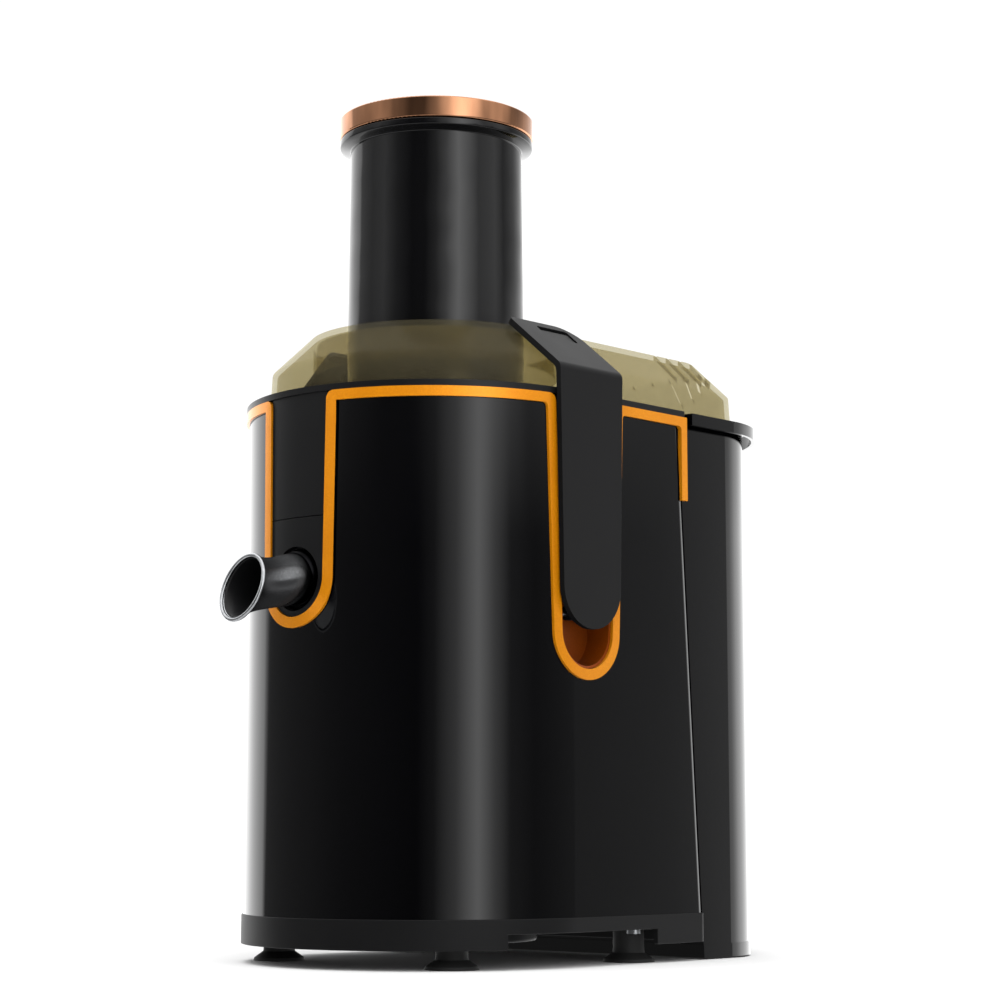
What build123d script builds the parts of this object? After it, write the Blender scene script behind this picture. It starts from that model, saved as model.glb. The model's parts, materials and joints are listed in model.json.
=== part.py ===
"""Centrifugal juicer: a tall motor base, a feed chute with its pusher, and a pulp bin behind.

Units are millimetres. X is across the machine, Y points to the back, Z is up. The origin is on the
table under the middle of the whole machine. The bowl axis, which the motor, the filter basket and the
chute share, stands BOWL_Y from it, and distances called "behind" are measured from that axis.
"""
from build123d import *
import os
from math import cos, radians, sin

os.makedirs("parts", exist_ok=True)

# ---------------------------------------------------------------- driving dimensions
BOWL_Y = -29.1          # place of the bowl axis

# heights above the table
SKIRT_LOW = 9.1
FLOOR_LOW = 16.4
FLOOR_TOP = 18.9
SKIRT_TOP = 23.3
SEAT_LOW = 166.0
SEAT_TOP = 170.0
BOWL_FLOOR = 176.0
TRIM_LOW = 265.6
TRIM_TOP = 270.5
RIM_TOP = 273.5
SHOULDER_Z = 290.3
LID_TOP = 308.6
CHUTE_TOP = 414.0
CAP_LOW = 414.3
CAP_TOP = 425.0

# body
BODY_R = 93.6
BODY_WALL = 2.7
SKIRT_R = 94.5
SKIRT_WALL = 2.5
TRIM_R = 95.0
TRIM_DEPTH = 2.4
BACK_FOOT = 96.0        # the back's distance behind the bowl axis at the skirt
BACK_LEAN = 0.0614      # the back leans forward by this much for each millimetre up
SKIRT_REAR = 97.0
TAIL_REAR = 85.0
TAIL_LOW = 228.0
TAIL_WIDTH = 4.4

# U of the trim round the front panel: half widths low and high, and lowest points
FRONT_OUTER = (24.0, 25.4, 158.6)
FRONT_INNER = (18.4, 19.7, 163.8)
PANEL_SEAM = 211.0
PANEL_GAP = 0.3

# U of the trim round each clamp
CLAMP_BEHIND = 8.7
SIDE_OUTER = (22.9, 26.5, 134.6)
SIDE_INNER = (17.9, 21.5, 139.8)
POCKET_TOP = 190.0
POCKET_FLOOR = 78.4     # the pocket's back wall, from the middle plane
POCKET_WALL = 1.4

# interlock plunger behind the right clamp
PLUNGER_Z = 225.0
PLUNGER_R = 1.5

# speed knob in its dish on the left side
KNOB_Z = 88.0
KNOB_BEHIND = 20.0
KNOB_R = 18.0
DISH_DEPTH = 7.0

# clamp arms
ARM_IN = 95.3
ARM_OUT = 98.2
ARM_LOW = 158.6
ARM_LOW_R = 20.5
ARM_HALF_TOP = 22.6
ARM_BEND = 283.0        # height of the inner bend
ARM_END = (62.5, 309.9)     # the inner face's end over the lid, across and up
PIVOT_X = 91.0
PIVOT_Z = 166.0
PIN_R = 1.6
EAR_R = 3.4

# spout
PIVOT_OUT = 89.0        # the ball's centre in front of the bowl axis
SPOUT_Z = 183.1
SPOUT_DROP = 12.0       # slope of the tube below level, in degrees
BALL_R = 13.5
SPOUT_PIN_R = 2.0
SPOUT_PIN_OUT = 1.1     # how far each pin stands out of the ball
TUBE_R = 12.3
TUBE_WALL = 1.0
MOUTH_OUT = 126.3
MOUTH_Z = 175.6
MOUTH_LEAN = 17.5       # the mouth's face leans back by this angle
MOUTH_HALF = (13.9, 16.35)
LIP_R = 1.0
SEAT_R = 16.4
SOCKET_HOLE_R = 15.0

# bowl and basket
BOWL_R_TOP = 77.0
BOWL_R_LOW = 75.4
BOWL_WALL = 2.2
CHIMNEY_R = 18.0
CHIMNEY_TOP = 196.0
BOWL_REAR = 83.0
BASKET_FLOOR = 206.0
BASKET_R_LOW = 48.0
BASKET_R_TOP = 71.0
MESH_TOP = 262.0
BASKET_RIM_TOP = 277.0

# lid, chute and pusher
LID_R_LOW = 83.5
LID_R_TOP = 82.5
PLATEAU_R = 63.5
LID_WALL = 2.5
REAR_BEHIND = 122.0     # where the straight sides of the lid and bin end
LID_REAR = 54.0         # how far the lid's oval back reaches beyond that
CHUTE_R_LOW = 45.2
CHUTE_R_TOP = 44.0
CHUTE_BORE = 41.5
CHUTE_END = 214.0
CHUTE_FLANGE_R = 49.5
PUSHER_R = 39.2
PUSHER_LOW = 216.0
RING_R = 49.8

# pulp bin
BIN_R = 90.0
BIN_REAR = 60.0
BIN_LIP_REAR = 68.4
BIN_LOW = 0.8
BIN_TOP = 273.1
BIN_WALL = 2.2
BIN_FRONT_GAP = 3.0
BIN_LIP_R = 96.0

# motor
SHAFT_R = 4.0
SHAFT_LOW = 42.0
STATOR_HALF = 42.0
STATOR_LOW = 84.0
STATOR_TOP = 124.0
ROTOR_R = 24.5
BRACKET_TOP = 158.0

# ---------------------------------------------------------------- planes and shared shapes
BOWL = Plane(origin=(0, BOWL_Y, 0))
FRONT = Plane(origin=(0, BOWL_Y, 0), x_dir=(1, 0, 0), z_dir=(0, -1, 0))
SIDE = Plane(origin=(0, BOWL_Y, 0), x_dir=(0, 1, 0), z_dir=(1, 0, 0))
BOWL_AXIS = Axis((0, BOWL_Y, 0), (0, 0, 1))
SPOUT_DIR = (0, -cos(radians(SPOUT_DROP)), -sin(radians(SPOUT_DROP)))
SPOUT = Plane(origin=(0, BOWL_Y - PIVOT_OUT, SPOUT_Z), x_dir=(1, 0, 0), z_dir=SPOUT_DIR)
SPOUT_AXIS = Axis((0, BOWL_Y - PIVOT_OUT, SPOUT_Z), SPOUT_DIR)

FEET_SPOTS = [(-60, -48), (60, -48), (-75, 60), (75, 60)]
BOSS_SPOTS = [(-78.8, -36.7), (78.8, -36.7), (-87, 50), (87, 50)]
MOTOR_BOLTS = [(-36, -36), (36, -36), (-36, 36), (36, 36)]
MOUNT_SPOTS = [(-52, -16), (52, -16), (-52, 16), (52, 16)]


def back_plane(forward):
    """The slanted back of the body, moved forward; its normal points to the back."""
    return Plane(origin=(0, BOWL_Y + BACK_FOOT - forward, SKIRT_TOP), z_dir=(0, 1, BACK_LEAN))


def body_outline(radius, rear):
    """Plan of the body: a half round front about the bowl axis and straight sides."""
    with BuildSketch() as outline:
        with BuildLine():
            ThreePointArc((-radius, 0), (0, -radius), (radius, 0))
            Polyline((radius, 0), (radius, rear), (-radius, rear), (-radius, 0))
        make_face()
    return outline.sketch


def body_block(radius, low, high, forward=0):
    """A solid with the body's plan, cut off by the slanted back."""
    with BuildPart() as block:
        with BuildSketch(BOWL.offset(low)):
            add(body_outline(radius, BACK_FOOT + 12))
        extrude(amount=high - low)
        split(bisect_by=back_plane(forward), keep=Keep.BOTTOM)
    return block.part


def long_outline(radius, rear):
    """Plan with a half round front about the bowl axis and an oval back."""
    with BuildSketch() as outline:
        with BuildLine():
            ThreePointArc((-radius, 0), (0, -radius), (radius, 0))
            Line((radius, 0), (radius, REAR_BEHIND))
            EllipticalCenterArc((0, REAR_BEHIND), radius, rear, start_angle=0, arc_size=180)
            Line((-radius, REAR_BEHIND), (-radius, 0))
        make_face()
    return outline.sketch


def rear_outline(radius, rear, front):
    """Plan of the bin: straight sides from the front and an oval back."""
    with BuildSketch() as outline:
        with BuildLine():
            EllipticalCenterArc((0, REAR_BEHIND), radius, rear, start_angle=0, arc_size=180)
            Polyline((-radius, REAR_BEHIND), (-radius, front), (radius, front), (radius, REAR_BEHIND))
        make_face()
    return outline.sketch


def u_shape(sizes, top, centre=0):
    """A U with a round bottom and straight, slightly opening sides, up to the given height."""
    half_low, half_top, bottom = sizes
    with BuildSketch() as shape:
        with BuildLine():
            bend = bottom + half_low
            ThreePointArc((centre - half_low, bend), (centre, bottom), (centre + half_low, bend))
            Polyline((centre + half_low, bend), (centre + half_top, top),
                     (centre - half_top, top), (centre - half_low, bend))
        make_face()
    return shape.sketch


def pocket_shape(shrink):
    """The clamp's finger pocket: the lower end of the U inside the side trim."""
    low, high, bottom = SIDE_INNER
    with BuildSketch() as shape:
        add(u_shape((low - shrink, high - shrink, bottom + shrink), TRIM_TOP, CLAMP_BEHIND))
        with Locations((CLAMP_BEHIND, POCKET_TOP - shrink + 50)):
            Rectangle(60, 100, mode=Mode.SUBTRACT)
    return shape.sketch


def front_band():
    """The trim's front elevation: the top run, broken by the U round the front panel."""
    with BuildSketch() as band:
        with Locations((0, (TRIM_LOW + TRIM_TOP) / 2)):
            Rectangle(100, TRIM_TOP - TRIM_LOW)
        add(u_shape(FRONT_OUTER, TRIM_TOP))
        add(u_shape(FRONT_INNER, TRIM_TOP), mode=Mode.SUBTRACT)
        inner_corners = band.vertices().group_by(Axis.Y)[-1].sort_by(Axis.X)[1:-1]
        fillet(inner_corners, 4)
        fillet(band.vertices().filter_by(lambda v: abs(v.Y - TRIM_LOW) < 0.01 and abs(v.X) < 82), 2)
    return band.sketch


def side_band():
    """The trim's side elevation: the top run, the U round the clamp and the tail at the back."""
    front_end = -BODY_R + 2
    with BuildSketch() as band:
        with Locations(((front_end + TAIL_REAR) / 2, (TRIM_LOW + TRIM_TOP) / 2)):
            Rectangle(TAIL_REAR - front_end, TRIM_TOP - TRIM_LOW)
        with Locations((TAIL_REAR - TAIL_WIDTH / 2, (TAIL_LOW + TRIM_TOP) / 2)):
            Rectangle(TAIL_WIDTH, TRIM_TOP - TAIL_LOW)
        add(u_shape(SIDE_OUTER, TRIM_TOP, CLAMP_BEHIND))
        add(u_shape(SIDE_INNER, TRIM_TOP, CLAMP_BEHIND), mode=Mode.SUBTRACT)
        inner_corners = band.vertices().group_by(Axis.Y)[-1].sort_by(Axis.X)[1:-1]
        fillet(inner_corners, 4)
        fillet(band.vertices().filter_by(lambda v: abs(v.Y - TRIM_LOW) < 0.01 and abs(v.X) < 82), 2)
    return band.sketch


# ---------------------------------------------------------------- trim band
with BuildPart() as trim_band:
    with BuildSketch(BOWL.offset(SIDE_OUTER[2])):
        add(body_outline(TRIM_R, TAIL_REAR))
        add(body_outline(TRIM_R - TRIM_DEPTH, TAIL_REAR + 5), mode=Mode.SUBTRACT)
    extrude(amount=TRIM_TOP - SIDE_OUTER[2])
    with BuildSketch(FRONT.offset(BODY_R - 20)):
        with Locations((0, 200)):
            Rectangle(80, 150)
        add(front_band(), mode=Mode.SUBTRACT)
    extrude(amount=30, mode=Mode.SUBTRACT)
    with BuildSketch(SIDE):
        with Locations((2 - BODY_R + 100, 200)):
            Rectangle(200, 150)
        add(side_band(), mode=Mode.SUBTRACT)
    extrude(amount=TRIM_R + 5, both=True, mode=Mode.SUBTRACT)
trim_band.part.label = "trim_band"
export_step(trim_band.part, "parts/trim_band.step")

# ---------------------------------------------------------------- motor housing
housing_outside = body_block(BODY_R, SKIRT_TOP, TRIM_TOP)
housing_inside = body_block(BODY_R - BODY_WALL, SKIRT_TOP - 1, TRIM_TOP + 1, BODY_WALL)
with BuildPart() as motor_housing:
    add(housing_outside)
    fillet(motor_housing.edges().filter_by(lambda e: abs(e.tangent_at(0.5).Z) > 0.9).group_by(Axis.Y)[-1], 4)
    add(housing_inside, mode=Mode.SUBTRACT)
    # columns for the housing screws below and the bowl seat's screws above
    with BuildSketch(BOWL.offset(SKIRT_TOP)):
        with Locations(*BOSS_SPOTS):
            Circle(4.5)
    extrude(amount=SEAT_LOW - SKIRT_TOP)
    with BuildSketch(BOWL.offset(SKIRT_TOP)):
        with Locations(*BOSS_SPOTS):
            Circle(1.6)
    extrude(amount=SEAT_LOW - SKIRT_TOP, mode=Mode.SUBTRACT)
    # groove for the trim, the front opening and the clamp pockets
    add(trim_band.part, mode=Mode.SUBTRACT)
    with BuildSketch(FRONT.offset(BODY_R - 15)):
        add(u_shape(FRONT_INNER, TRIM_TOP + 1))
    extrude(amount=20, mode=Mode.SUBTRACT)
    with BuildSketch(SIDE.offset(BODY_R - 8)):
        add(pocket_shape(0))
    extrude(amount=12, mode=Mode.SUBTRACT)
    with BuildSketch(SIDE.offset(-BODY_R - 4)):
        add(pocket_shape(0))
    extrude(amount=12, mode=Mode.SUBTRACT)
    # the bowl shows through the upper back
    with BuildSketch(FRONT.offset(-BACK_FOOT - 10)):
        with Locations((0, 225)):
            Rectangle(72, 116)
    extrude(amount=36, mode=Mode.SUBTRACT)
    # dish for the speed knob on the left side
    with BuildSketch(SIDE.offset(-BODY_R + 1)):
        with Locations((KNOB_BEHIND, KNOB_Z)):
            Circle(KNOB_R + 3.5)
    extrude(amount=DISH_DEPTH + 1.5)
    with BuildSketch(SIDE.offset(-BODY_R - 1)):
        with Locations((KNOB_BEHIND, KNOB_Z)):
            Circle(KNOB_R + 1.2)
    extrude(amount=DISH_DEPTH + 1, mode=Mode.SUBTRACT)
    with BuildSketch(SIDE.offset(-BODY_R + DISH_DEPTH - 1)):
        with Locations((KNOB_BEHIND, KNOB_Z)):
            Circle(3.6)
    extrude(amount=6, mode=Mode.SUBTRACT)
    # hole for the interlock plunger behind the right clamp
    with BuildSketch(SIDE.offset(BODY_R - 6)):
        with Locations((CLAMP_BEHIND, PLUNGER_Z)):
            Circle(PLUNGER_R + 0.1)
    extrude(amount=8, mode=Mode.SUBTRACT)
motor_housing.part.label = "motor_housing"
export_step(motor_housing.part, "parts/motor_housing.step")


# ---------------------------------------------------------------- base tray
with BuildPart() as base_tray:
    with BuildSketch(BOWL.offset(SKIRT_LOW)):
        add(body_outline(SKIRT_R, SKIRT_REAR))
    extrude(amount=SKIRT_TOP - SKIRT_LOW)
    fillet(base_tray.edges().filter_by(Axis.Z).group_by(Axis.Y)[-1], 4)
    with BuildSketch(BOWL.offset(SKIRT_LOW)):
        add(body_outline(SKIRT_R - SKIRT_WALL, SKIRT_REAR - SKIRT_WALL))
    extrude(amount=FLOOR_LOW - SKIRT_LOW, mode=Mode.SUBTRACT)
    with BuildSketch(BOWL.offset(FLOOR_TOP)):
        add(body_outline(SKIRT_R - SKIRT_WALL - 1.5, SKIRT_REAR - SKIRT_WALL - 3))
    extrude(amount=SKIRT_TOP - FLOOR_TOP, mode=Mode.SUBTRACT)
    # long cut-outs in the skirt's lower edge on both sides
    with BuildSketch(SIDE):
        with Locations((10.5, SKIRT_LOW)):
            Rectangle(97, 2 * (FLOOR_LOW - SKIRT_LOW))
    extrude(amount=SKIRT_R + 5, both=True, mode=Mode.SUBTRACT)
    # sockets for the housing columns
    with BuildSketch(BOWL.offset(FLOOR_TOP)):
        with Locations(*BOSS_SPOTS):
            Circle(4.5)
    extrude(amount=SKIRT_TOP - FLOOR_TOP)
    with BuildSketch(BOWL.offset(FLOOR_LOW - 1)):
        with Locations(*BOSS_SPOTS):
            Circle(1.6)
        with Locations(*FEET_SPOTS):
            Circle(3.1)
        with Locations((0, 78)):
            Circle(5.0)
        with Locations((0, 0)):
            with PolarLocations(22, 12):
                SlotOverall(14, 3)
            with PolarLocations(42, 18):
                SlotOverall(12, 3)
    extrude(amount=SKIRT_TOP, mode=Mode.SUBTRACT)
base_tray.part.label = "base_tray"
export_step(base_tray.part, "parts/base_tray.step")

# ---------------------------------------------------------------- air inlet cover under the base
COVER_R = 51.0
COVER_LOW = 10.2
with BuildPart() as inlet_cover:
    with BuildSketch(BOWL.offset(COVER_LOW)):
        Circle(COVER_R)
    extrude(amount=FLOOR_LOW - COVER_LOW)
    with BuildSketch(BOWL.offset(COVER_LOW + 2)):
        Circle(COVER_R - 2)
    extrude(amount=FLOOR_LOW - COVER_LOW, mode=Mode.SUBTRACT)
    with BuildSketch(BOWL.offset(COVER_LOW - 1)):
        with PolarLocations(32, 24):
            SlotOverall(18, 2.4)
    extrude(amount=4, mode=Mode.SUBTRACT)
    fillet(inlet_cover.edges().group_by(Axis.Z)[0].sort_by(SortBy.LENGTH)[-1], 1.2)
inlet_cover.part.label = "inlet_cover"
export_step(inlet_cover.part, "parts/inlet_cover.step")

# ---------------------------------------------------------------- cord gland, with its bore open
GLAND_R = 3.5
with BuildPart() as cord_gland:
    with BuildSketch(BOWL.offset(FLOOR_LOW - 3)):
        with Locations((0, 78)):
            Circle(6.5)
    extrude(amount=3)
    with BuildSketch(BOWL.offset(FLOOR_LOW)):
        with Locations((0, 78)):
            Circle(5.0)
    extrude(amount=5)
    with BuildSketch(BOWL.offset(FLOOR_LOW - 3)):
        with Locations((0, 78)):
            Circle(GLAND_R)
    extrude(amount=8, mode=Mode.SUBTRACT)
cord_gland.part.label = "cord_gland"
export_step(cord_gland.part, "parts/cord_gland.step")

# ---------------------------------------------------------------- suction feet
with BuildPart() as one_foot:
    with BuildSketch(FRONT):
        with BuildLine():
            Polyline((0, 2.4), (9.5, 1.6), (12.0, 0), (12.8, 0), (12.2, 1.6), (7.9, 4.6), (7.6, 7.0))
            Polyline((7.6, 7.0), (7.6, FLOOR_LOW), (3.0, FLOOR_LOW), (3.0, FLOOR_TOP), (0, FLOOR_TOP), (0, 2.4))
        make_face()
    revolve(axis=BOWL_AXIS)
with BuildPart() as feet:
    with Locations(*[(across, behind, 0) for across, behind in FEET_SPOTS]):
        add(one_foot.part)
    with BuildSketch(BOWL.offset(6.0)):
        with Locations(*FEET_SPOTS):
            Circle(1.25)
    extrude(amount=FLOOR_TOP - 6.0, mode=Mode.SUBTRACT)
feet.part.label = "feet"
export_step(feet.part, "parts/feet.step")

with BuildPart() as foot_screws:
    with BuildSketch(BOWL.offset(FLOOR_TOP)):
        with Locations(*FEET_SPOTS):
            Circle(4.6)
    extrude(amount=1.8)
    with BuildSketch(BOWL.offset(7.0)):
        with Locations(*FEET_SPOTS):
            Circle(1.2)
    extrude(amount=FLOOR_TOP - 7.0)
foot_screws.part.label = "foot_screws"
export_step(foot_screws.part, "parts/foot_screws.step")

with BuildPart() as housing_screws:
    with BuildSketch(BOWL.offset(FLOOR_LOW - 2.2)):
        with Locations(*BOSS_SPOTS):
            Circle(3.4)
    extrude(amount=2.2)
    with BuildSketch(BOWL.offset(FLOOR_LOW)):
        with Locations(*BOSS_SPOTS):
            Circle(1.5)
    extrude(amount=24)
housing_screws.part.label = "housing_screws"
export_step(housing_screws.part, "parts/housing_screws.step")

# ---------------------------------------------------------------- bowl seat, the deck over the motor
seat_block = body_block(BODY_R - BODY_WALL - 0.2, SEAT_LOW, SEAT_TOP, BODY_WALL + 0.2)
with BuildPart() as bowl_seat:
    add(seat_block)
    with BuildSketch(BOWL.offset(SEAT_LOW - 1)):
        Circle(12)
        with Locations(*BOSS_SPOTS):
            Circle(1.6)
        with Locations(*MOUNT_SPOTS):
            Circle(2.0)
        with Locations((POCKET_FLOOR + 10, CLAMP_BEHIND), (-POCKET_FLOOR - 10, CLAMP_BEHIND)):
            Rectangle(24, 42)
        with Locations((0, 84)):
            Rectangle(40, 14)
        with Locations((0, -84)):
            Rectangle(38, 26)
    extrude(amount=SEAT_TOP - SEAT_LOW + 2, mode=Mode.SUBTRACT)
    # raised collar that centres the bowl
    with BuildSketch(BOWL.offset(SEAT_TOP)):
        Circle(15.6)
        Circle(13.6, mode=Mode.SUBTRACT)
    extrude(amount=5)
bowl_seat.part.label = "bowl_seat"
export_step(bowl_seat.part, "parts/bowl_seat.step")

with BuildPart() as seat_screws:
    with BuildSketch(BOWL.offset(SEAT_TOP)):
        with Locations(*BOSS_SPOTS):
            Circle(3.4)
    extrude(amount=2.2)
    with BuildSketch(BOWL.offset(SEAT_TOP - 18)):
        with Locations(*BOSS_SPOTS):
            Circle(1.5)
    extrude(amount=18)
seat_screws.part.label = "seat_screws"
export_step(seat_screws.part, "parts/seat_screws.step")

# ---------------------------------------------------------------- front spout panel
panel_low = (FRONT_INNER[0] - PANEL_GAP, FRONT_INNER[1] - PANEL_GAP, FRONT_INNER[2] + PANEL_GAP)
with BuildPart() as spout_panel:
    with BuildSketch(BOWL.offset(FRONT_INNER[2])):
        Circle(BODY_R + 0.4)
        Circle(BODY_R - 2.4, mode=Mode.SUBTRACT)
    extrude(amount=PANEL_SEAM - FRONT_INNER[2])
    with BuildSketch(FRONT.offset(BODY_R - 15)):
        add(u_shape(panel_low, TRIM_TOP))
    extrude(amount=20, mode=Mode.INTERSECT)
    with BuildSketch(SPOUT.offset(-6)):
        Circle(SOCKET_HOLE_R)
    extrude(amount=20, mode=Mode.SUBTRACT)
spout_panel.part.label = "spout_panel"
export_step(spout_panel.part, "parts/spout_panel.step")

# ---------------------------------------------------------------- juice bowl
apron_sizes = (FRONT_INNER[0] - PANEL_GAP, FRONT_INNER[1] - PANEL_GAP, FRONT_INNER[2])
with BuildPart() as apron:
    with BuildSketch(BOWL.offset(PANEL_SEAM + 0.4)):
        Circle(BODY_R + 0.4)
        Circle(BODY_R - 2.4, mode=Mode.SUBTRACT)
    extrude(amount=RIM_TOP - 1 - PANEL_SEAM - 0.4)
    with BuildSketch(FRONT.offset(BODY_R - 15)):
        add(u_shape(apron_sizes, RIM_TOP + 1))
    extrude(amount=20, mode=Mode.INTERSECT)
# cup for the spout's ball, between the bowl's wall and the front panel
with BuildPart() as cup:
    with BuildSketch(SPOUT.offset(-15)):
        Circle(SEAT_R)
    extrude(amount=16)
    with BuildSketch(BOWL.offset(SEAT_LOW - 5)):
        Circle(BODY_R - BODY_WALL - 0.3)
        Circle(BOWL_R_LOW + 0.8, mode=Mode.SUBTRACT)
    extrude(amount=60, mode=Mode.INTERSECT)
with BuildPart() as juice_bowl:
    with BuildSketch(FRONT):
        with BuildLine():
            outer_low = BOWL_R_LOW + BOWL_WALL
            Polyline((CHIMNEY_R, SEAT_TOP), (CHIMNEY_R, CHIMNEY_TOP), (CHIMNEY_R + 2.2, CHIMNEY_TOP),
                     (CHIMNEY_R + 2.2, BOWL_FLOOR), (BOWL_R_LOW, BOWL_FLOOR), (BOWL_R_TOP, RIM_TOP),
                     (BOWL_R_TOP + 4, RIM_TOP), (BOWL_R_TOP + 4, TRIM_TOP),
                     (BOWL_R_TOP + BOWL_WALL, TRIM_TOP), (outer_low, BOWL_FLOOR - 2.5),
                     (CHIMNEY_R + 4, BOWL_FLOOR - 2.5), (CHIMNEY_R + 4, SEAT_TOP), (CHIMNEY_R, SEAT_TOP))
        make_face()
    revolve(axis=BOWL_AXIS)
    # flat rim over the trim, up to the bin
    with BuildSketch(BOWL.offset(TRIM_TOP)):
        add(body_outline(TRIM_R, BOWL_REAR))
        Circle(BOWL_R_TOP + 3, mode=Mode.SUBTRACT)
    extrude(amount=RIM_TOP - TRIM_TOP)
    # bead that centres the lid, left open at the back where the pulp leaves
    with BuildSketch(BOWL.offset(RIM_TOP)):
        Circle(BOWL_R_TOP + 3.7)
        Circle(BOWL_R_TOP + 2.4, mode=Mode.SUBTRACT)
        with Locations((0, 70)):
            Rectangle(200, 100, mode=Mode.SUBTRACT)
    extrude(amount=2.2)
    add(apron.part)
    add(cup.part)
    with BuildSketch(SPOUT.offset(-24)):
        Circle(10.4)
    extrude(amount=22, mode=Mode.SUBTRACT)
    with Locations(Location((0, BOWL_Y - PIVOT_OUT, SPOUT_Z))):
        Sphere(BALL_R + 0.35, mode=Mode.SUBTRACT)
    with BuildSketch(SPOUT.offset(-5.5)):
        Circle(15.0)
    extrude(amount=2.6, mode=Mode.SUBTRACT)
    # bearing for the spout's pins
    with BuildSketch(SIDE):
        with Locations((-PIVOT_OUT, SPOUT_Z)):
            Circle(SPOUT_PIN_R + 0.06)
    extrude(amount=BALL_R + SPOUT_PIN_OUT + 0.3, both=True, mode=Mode.SUBTRACT)
juice_bowl.part.label = "juice_bowl"
export_step(juice_bowl.part, "parts/juice_bowl.step")

# ---------------------------------------------------------------- spout and its seal
with BuildPart() as spout_seal:
    with BuildSketch(SPOUT.offset(-5.4)):
        Circle(14.9)
        Circle(BALL_R + 0.06, mode=Mode.SUBTRACT)
    extrude(amount=2.4)
spout_seal.part.label = "spout_seal"
export_step(spout_seal.part, "parts/spout_seal.step")

# the planes across the tube, with their local x running up the face
lean_cos, lean_sin = cos(radians(MOUTH_LEAN)), sin(radians(MOUTH_LEAN))
MOUTH = Plane(
    origin=(0, BOWL_Y - MOUTH_OUT, MOUTH_Z),
    x_dir=(0, lean_sin, lean_cos), z_dir=(0, -lean_cos, lean_sin))
MIDWAY = Plane(origin=(0, BOWL_Y - MOUTH_OUT + 7, MOUTH_Z + 1.5), x_dir=(0, lean_sin, lean_cos),
               z_dir=(0, -lean_cos, lean_sin))
TUBE_START = Plane(origin=SPOUT.origin, x_dir=(0, -sin(radians(SPOUT_DROP)), cos(radians(SPOUT_DROP))),
                   z_dir=SPOUT_DIR)


def spout_tube(shrink):
    """The tube from the ball to the mouth, with its flare, as a solid body."""
    with BuildPart() as tube:
        with BuildSketch(TUBE_START.offset(2)):
            Circle(TUBE_R - shrink)
        with BuildSketch(TUBE_START.offset(9)):
            Circle(TUBE_R - shrink)
        with BuildSketch(MIDWAY):
                Ellipse(TUBE_R + 1.9 - shrink, TUBE_R + 0.3 - shrink)
        with BuildSketch(MOUTH):
            Ellipse(MOUTH_HALF[1] - shrink, MOUTH_HALF[0] - shrink)
        loft()
    return tube.part


tube_outside = spout_tube(0)
tube_inside = spout_tube(TUBE_WALL)
with BuildPart() as spout:
    with Locations(Location((0, BOWL_Y - PIVOT_OUT, SPOUT_Z))):
        Sphere(BALL_R)
    split(bisect_by=SPOUT.offset(-8), keep=Keep.TOP)
    split(bisect_by=SPOUT.offset(4.8), keep=Keep.BOTTOM)
    add(tube_outside)
    with BuildSketch(SPOUT.offset(-12)):
        Circle(TUBE_R - TUBE_WALL - 0.2)
    extrude(amount=17, mode=Mode.SUBTRACT)
    add(tube_inside, mode=Mode.SUBTRACT)
    # rolled lip round the mouth
    with BuildLine(MOUTH) as lip_path:
        EllipticalCenterArc((0, 0), MOUTH_HALF[1] - 0.2, MOUTH_HALF[0] - 0.2, arc_size=360)
    with BuildSketch(Plane(origin=lip_path.wires()[0] @ 0, z_dir=lip_path.wires()[0] % 0)):
        Circle(LIP_R)
    sweep(path=lip_path.wires()[0])
    # pins at the ball's sides that it tilts on
    with BuildSketch(SIDE.offset(BALL_R - 1)):
        with Locations((-PIVOT_OUT, SPOUT_Z)):
            Circle(SPOUT_PIN_R)
    extrude(amount=SPOUT_PIN_OUT + 1)
    with BuildSketch(SIDE.offset(1 - BALL_R)):
        with Locations((-PIVOT_OUT, SPOUT_Z)):
            Circle(SPOUT_PIN_R)
    extrude(amount=-SPOUT_PIN_OUT - 1)
spout.part.label = "spout"
export_step(spout.part, "parts/spout.step")

# ---------------------------------------------------------------- clamp pockets
POCKET_FIT = 0.1
with BuildPart() as clamp_pocket_right:
    with BuildSketch(SIDE.offset(POCKET_FLOOR)):
        add(pocket_shape(POCKET_FIT))
    extrude(amount=BODY_R - POCKET_FIT - POCKET_FLOOR)
    with BuildSketch(SIDE.offset(POCKET_FLOOR + POCKET_WALL)):
        add(pocket_shape(POCKET_FIT + POCKET_WALL))
    extrude(amount=BODY_R - POCKET_FLOOR, mode=Mode.SUBTRACT)
    with BuildSketch(FRONT.offset(-CLAMP_BEHIND)):
        with Locations((PIVOT_X, PIVOT_Z)):
            Circle(PIN_R)
    extrude(amount=30, both=True, mode=Mode.SUBTRACT)
clamp_pocket_right.part.label = "clamp_pocket_right"
export_step(clamp_pocket_right.part, "parts/clamp_pocket_right.step")

with BuildPart() as clamp_pocket_left:
    mirror(clamp_pocket_right.part, about=Plane.YZ)
clamp_pocket_left.part.label = "clamp_pocket_left"
export_step(clamp_pocket_left.part, "parts/clamp_pocket_left.step")

with BuildPart() as clamp_pins:
    with BuildSketch(FRONT.offset(-CLAMP_BEHIND - 17.6)):
        with Locations((PIVOT_X, PIVOT_Z), (-PIVOT_X, PIVOT_Z)):
            Circle(PIN_R - 0.03)
    extrude(amount=35.2)
clamp_pins.part.label = "clamp_pins"
export_step(clamp_pins.part, "parts/clamp_pins.step")

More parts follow.
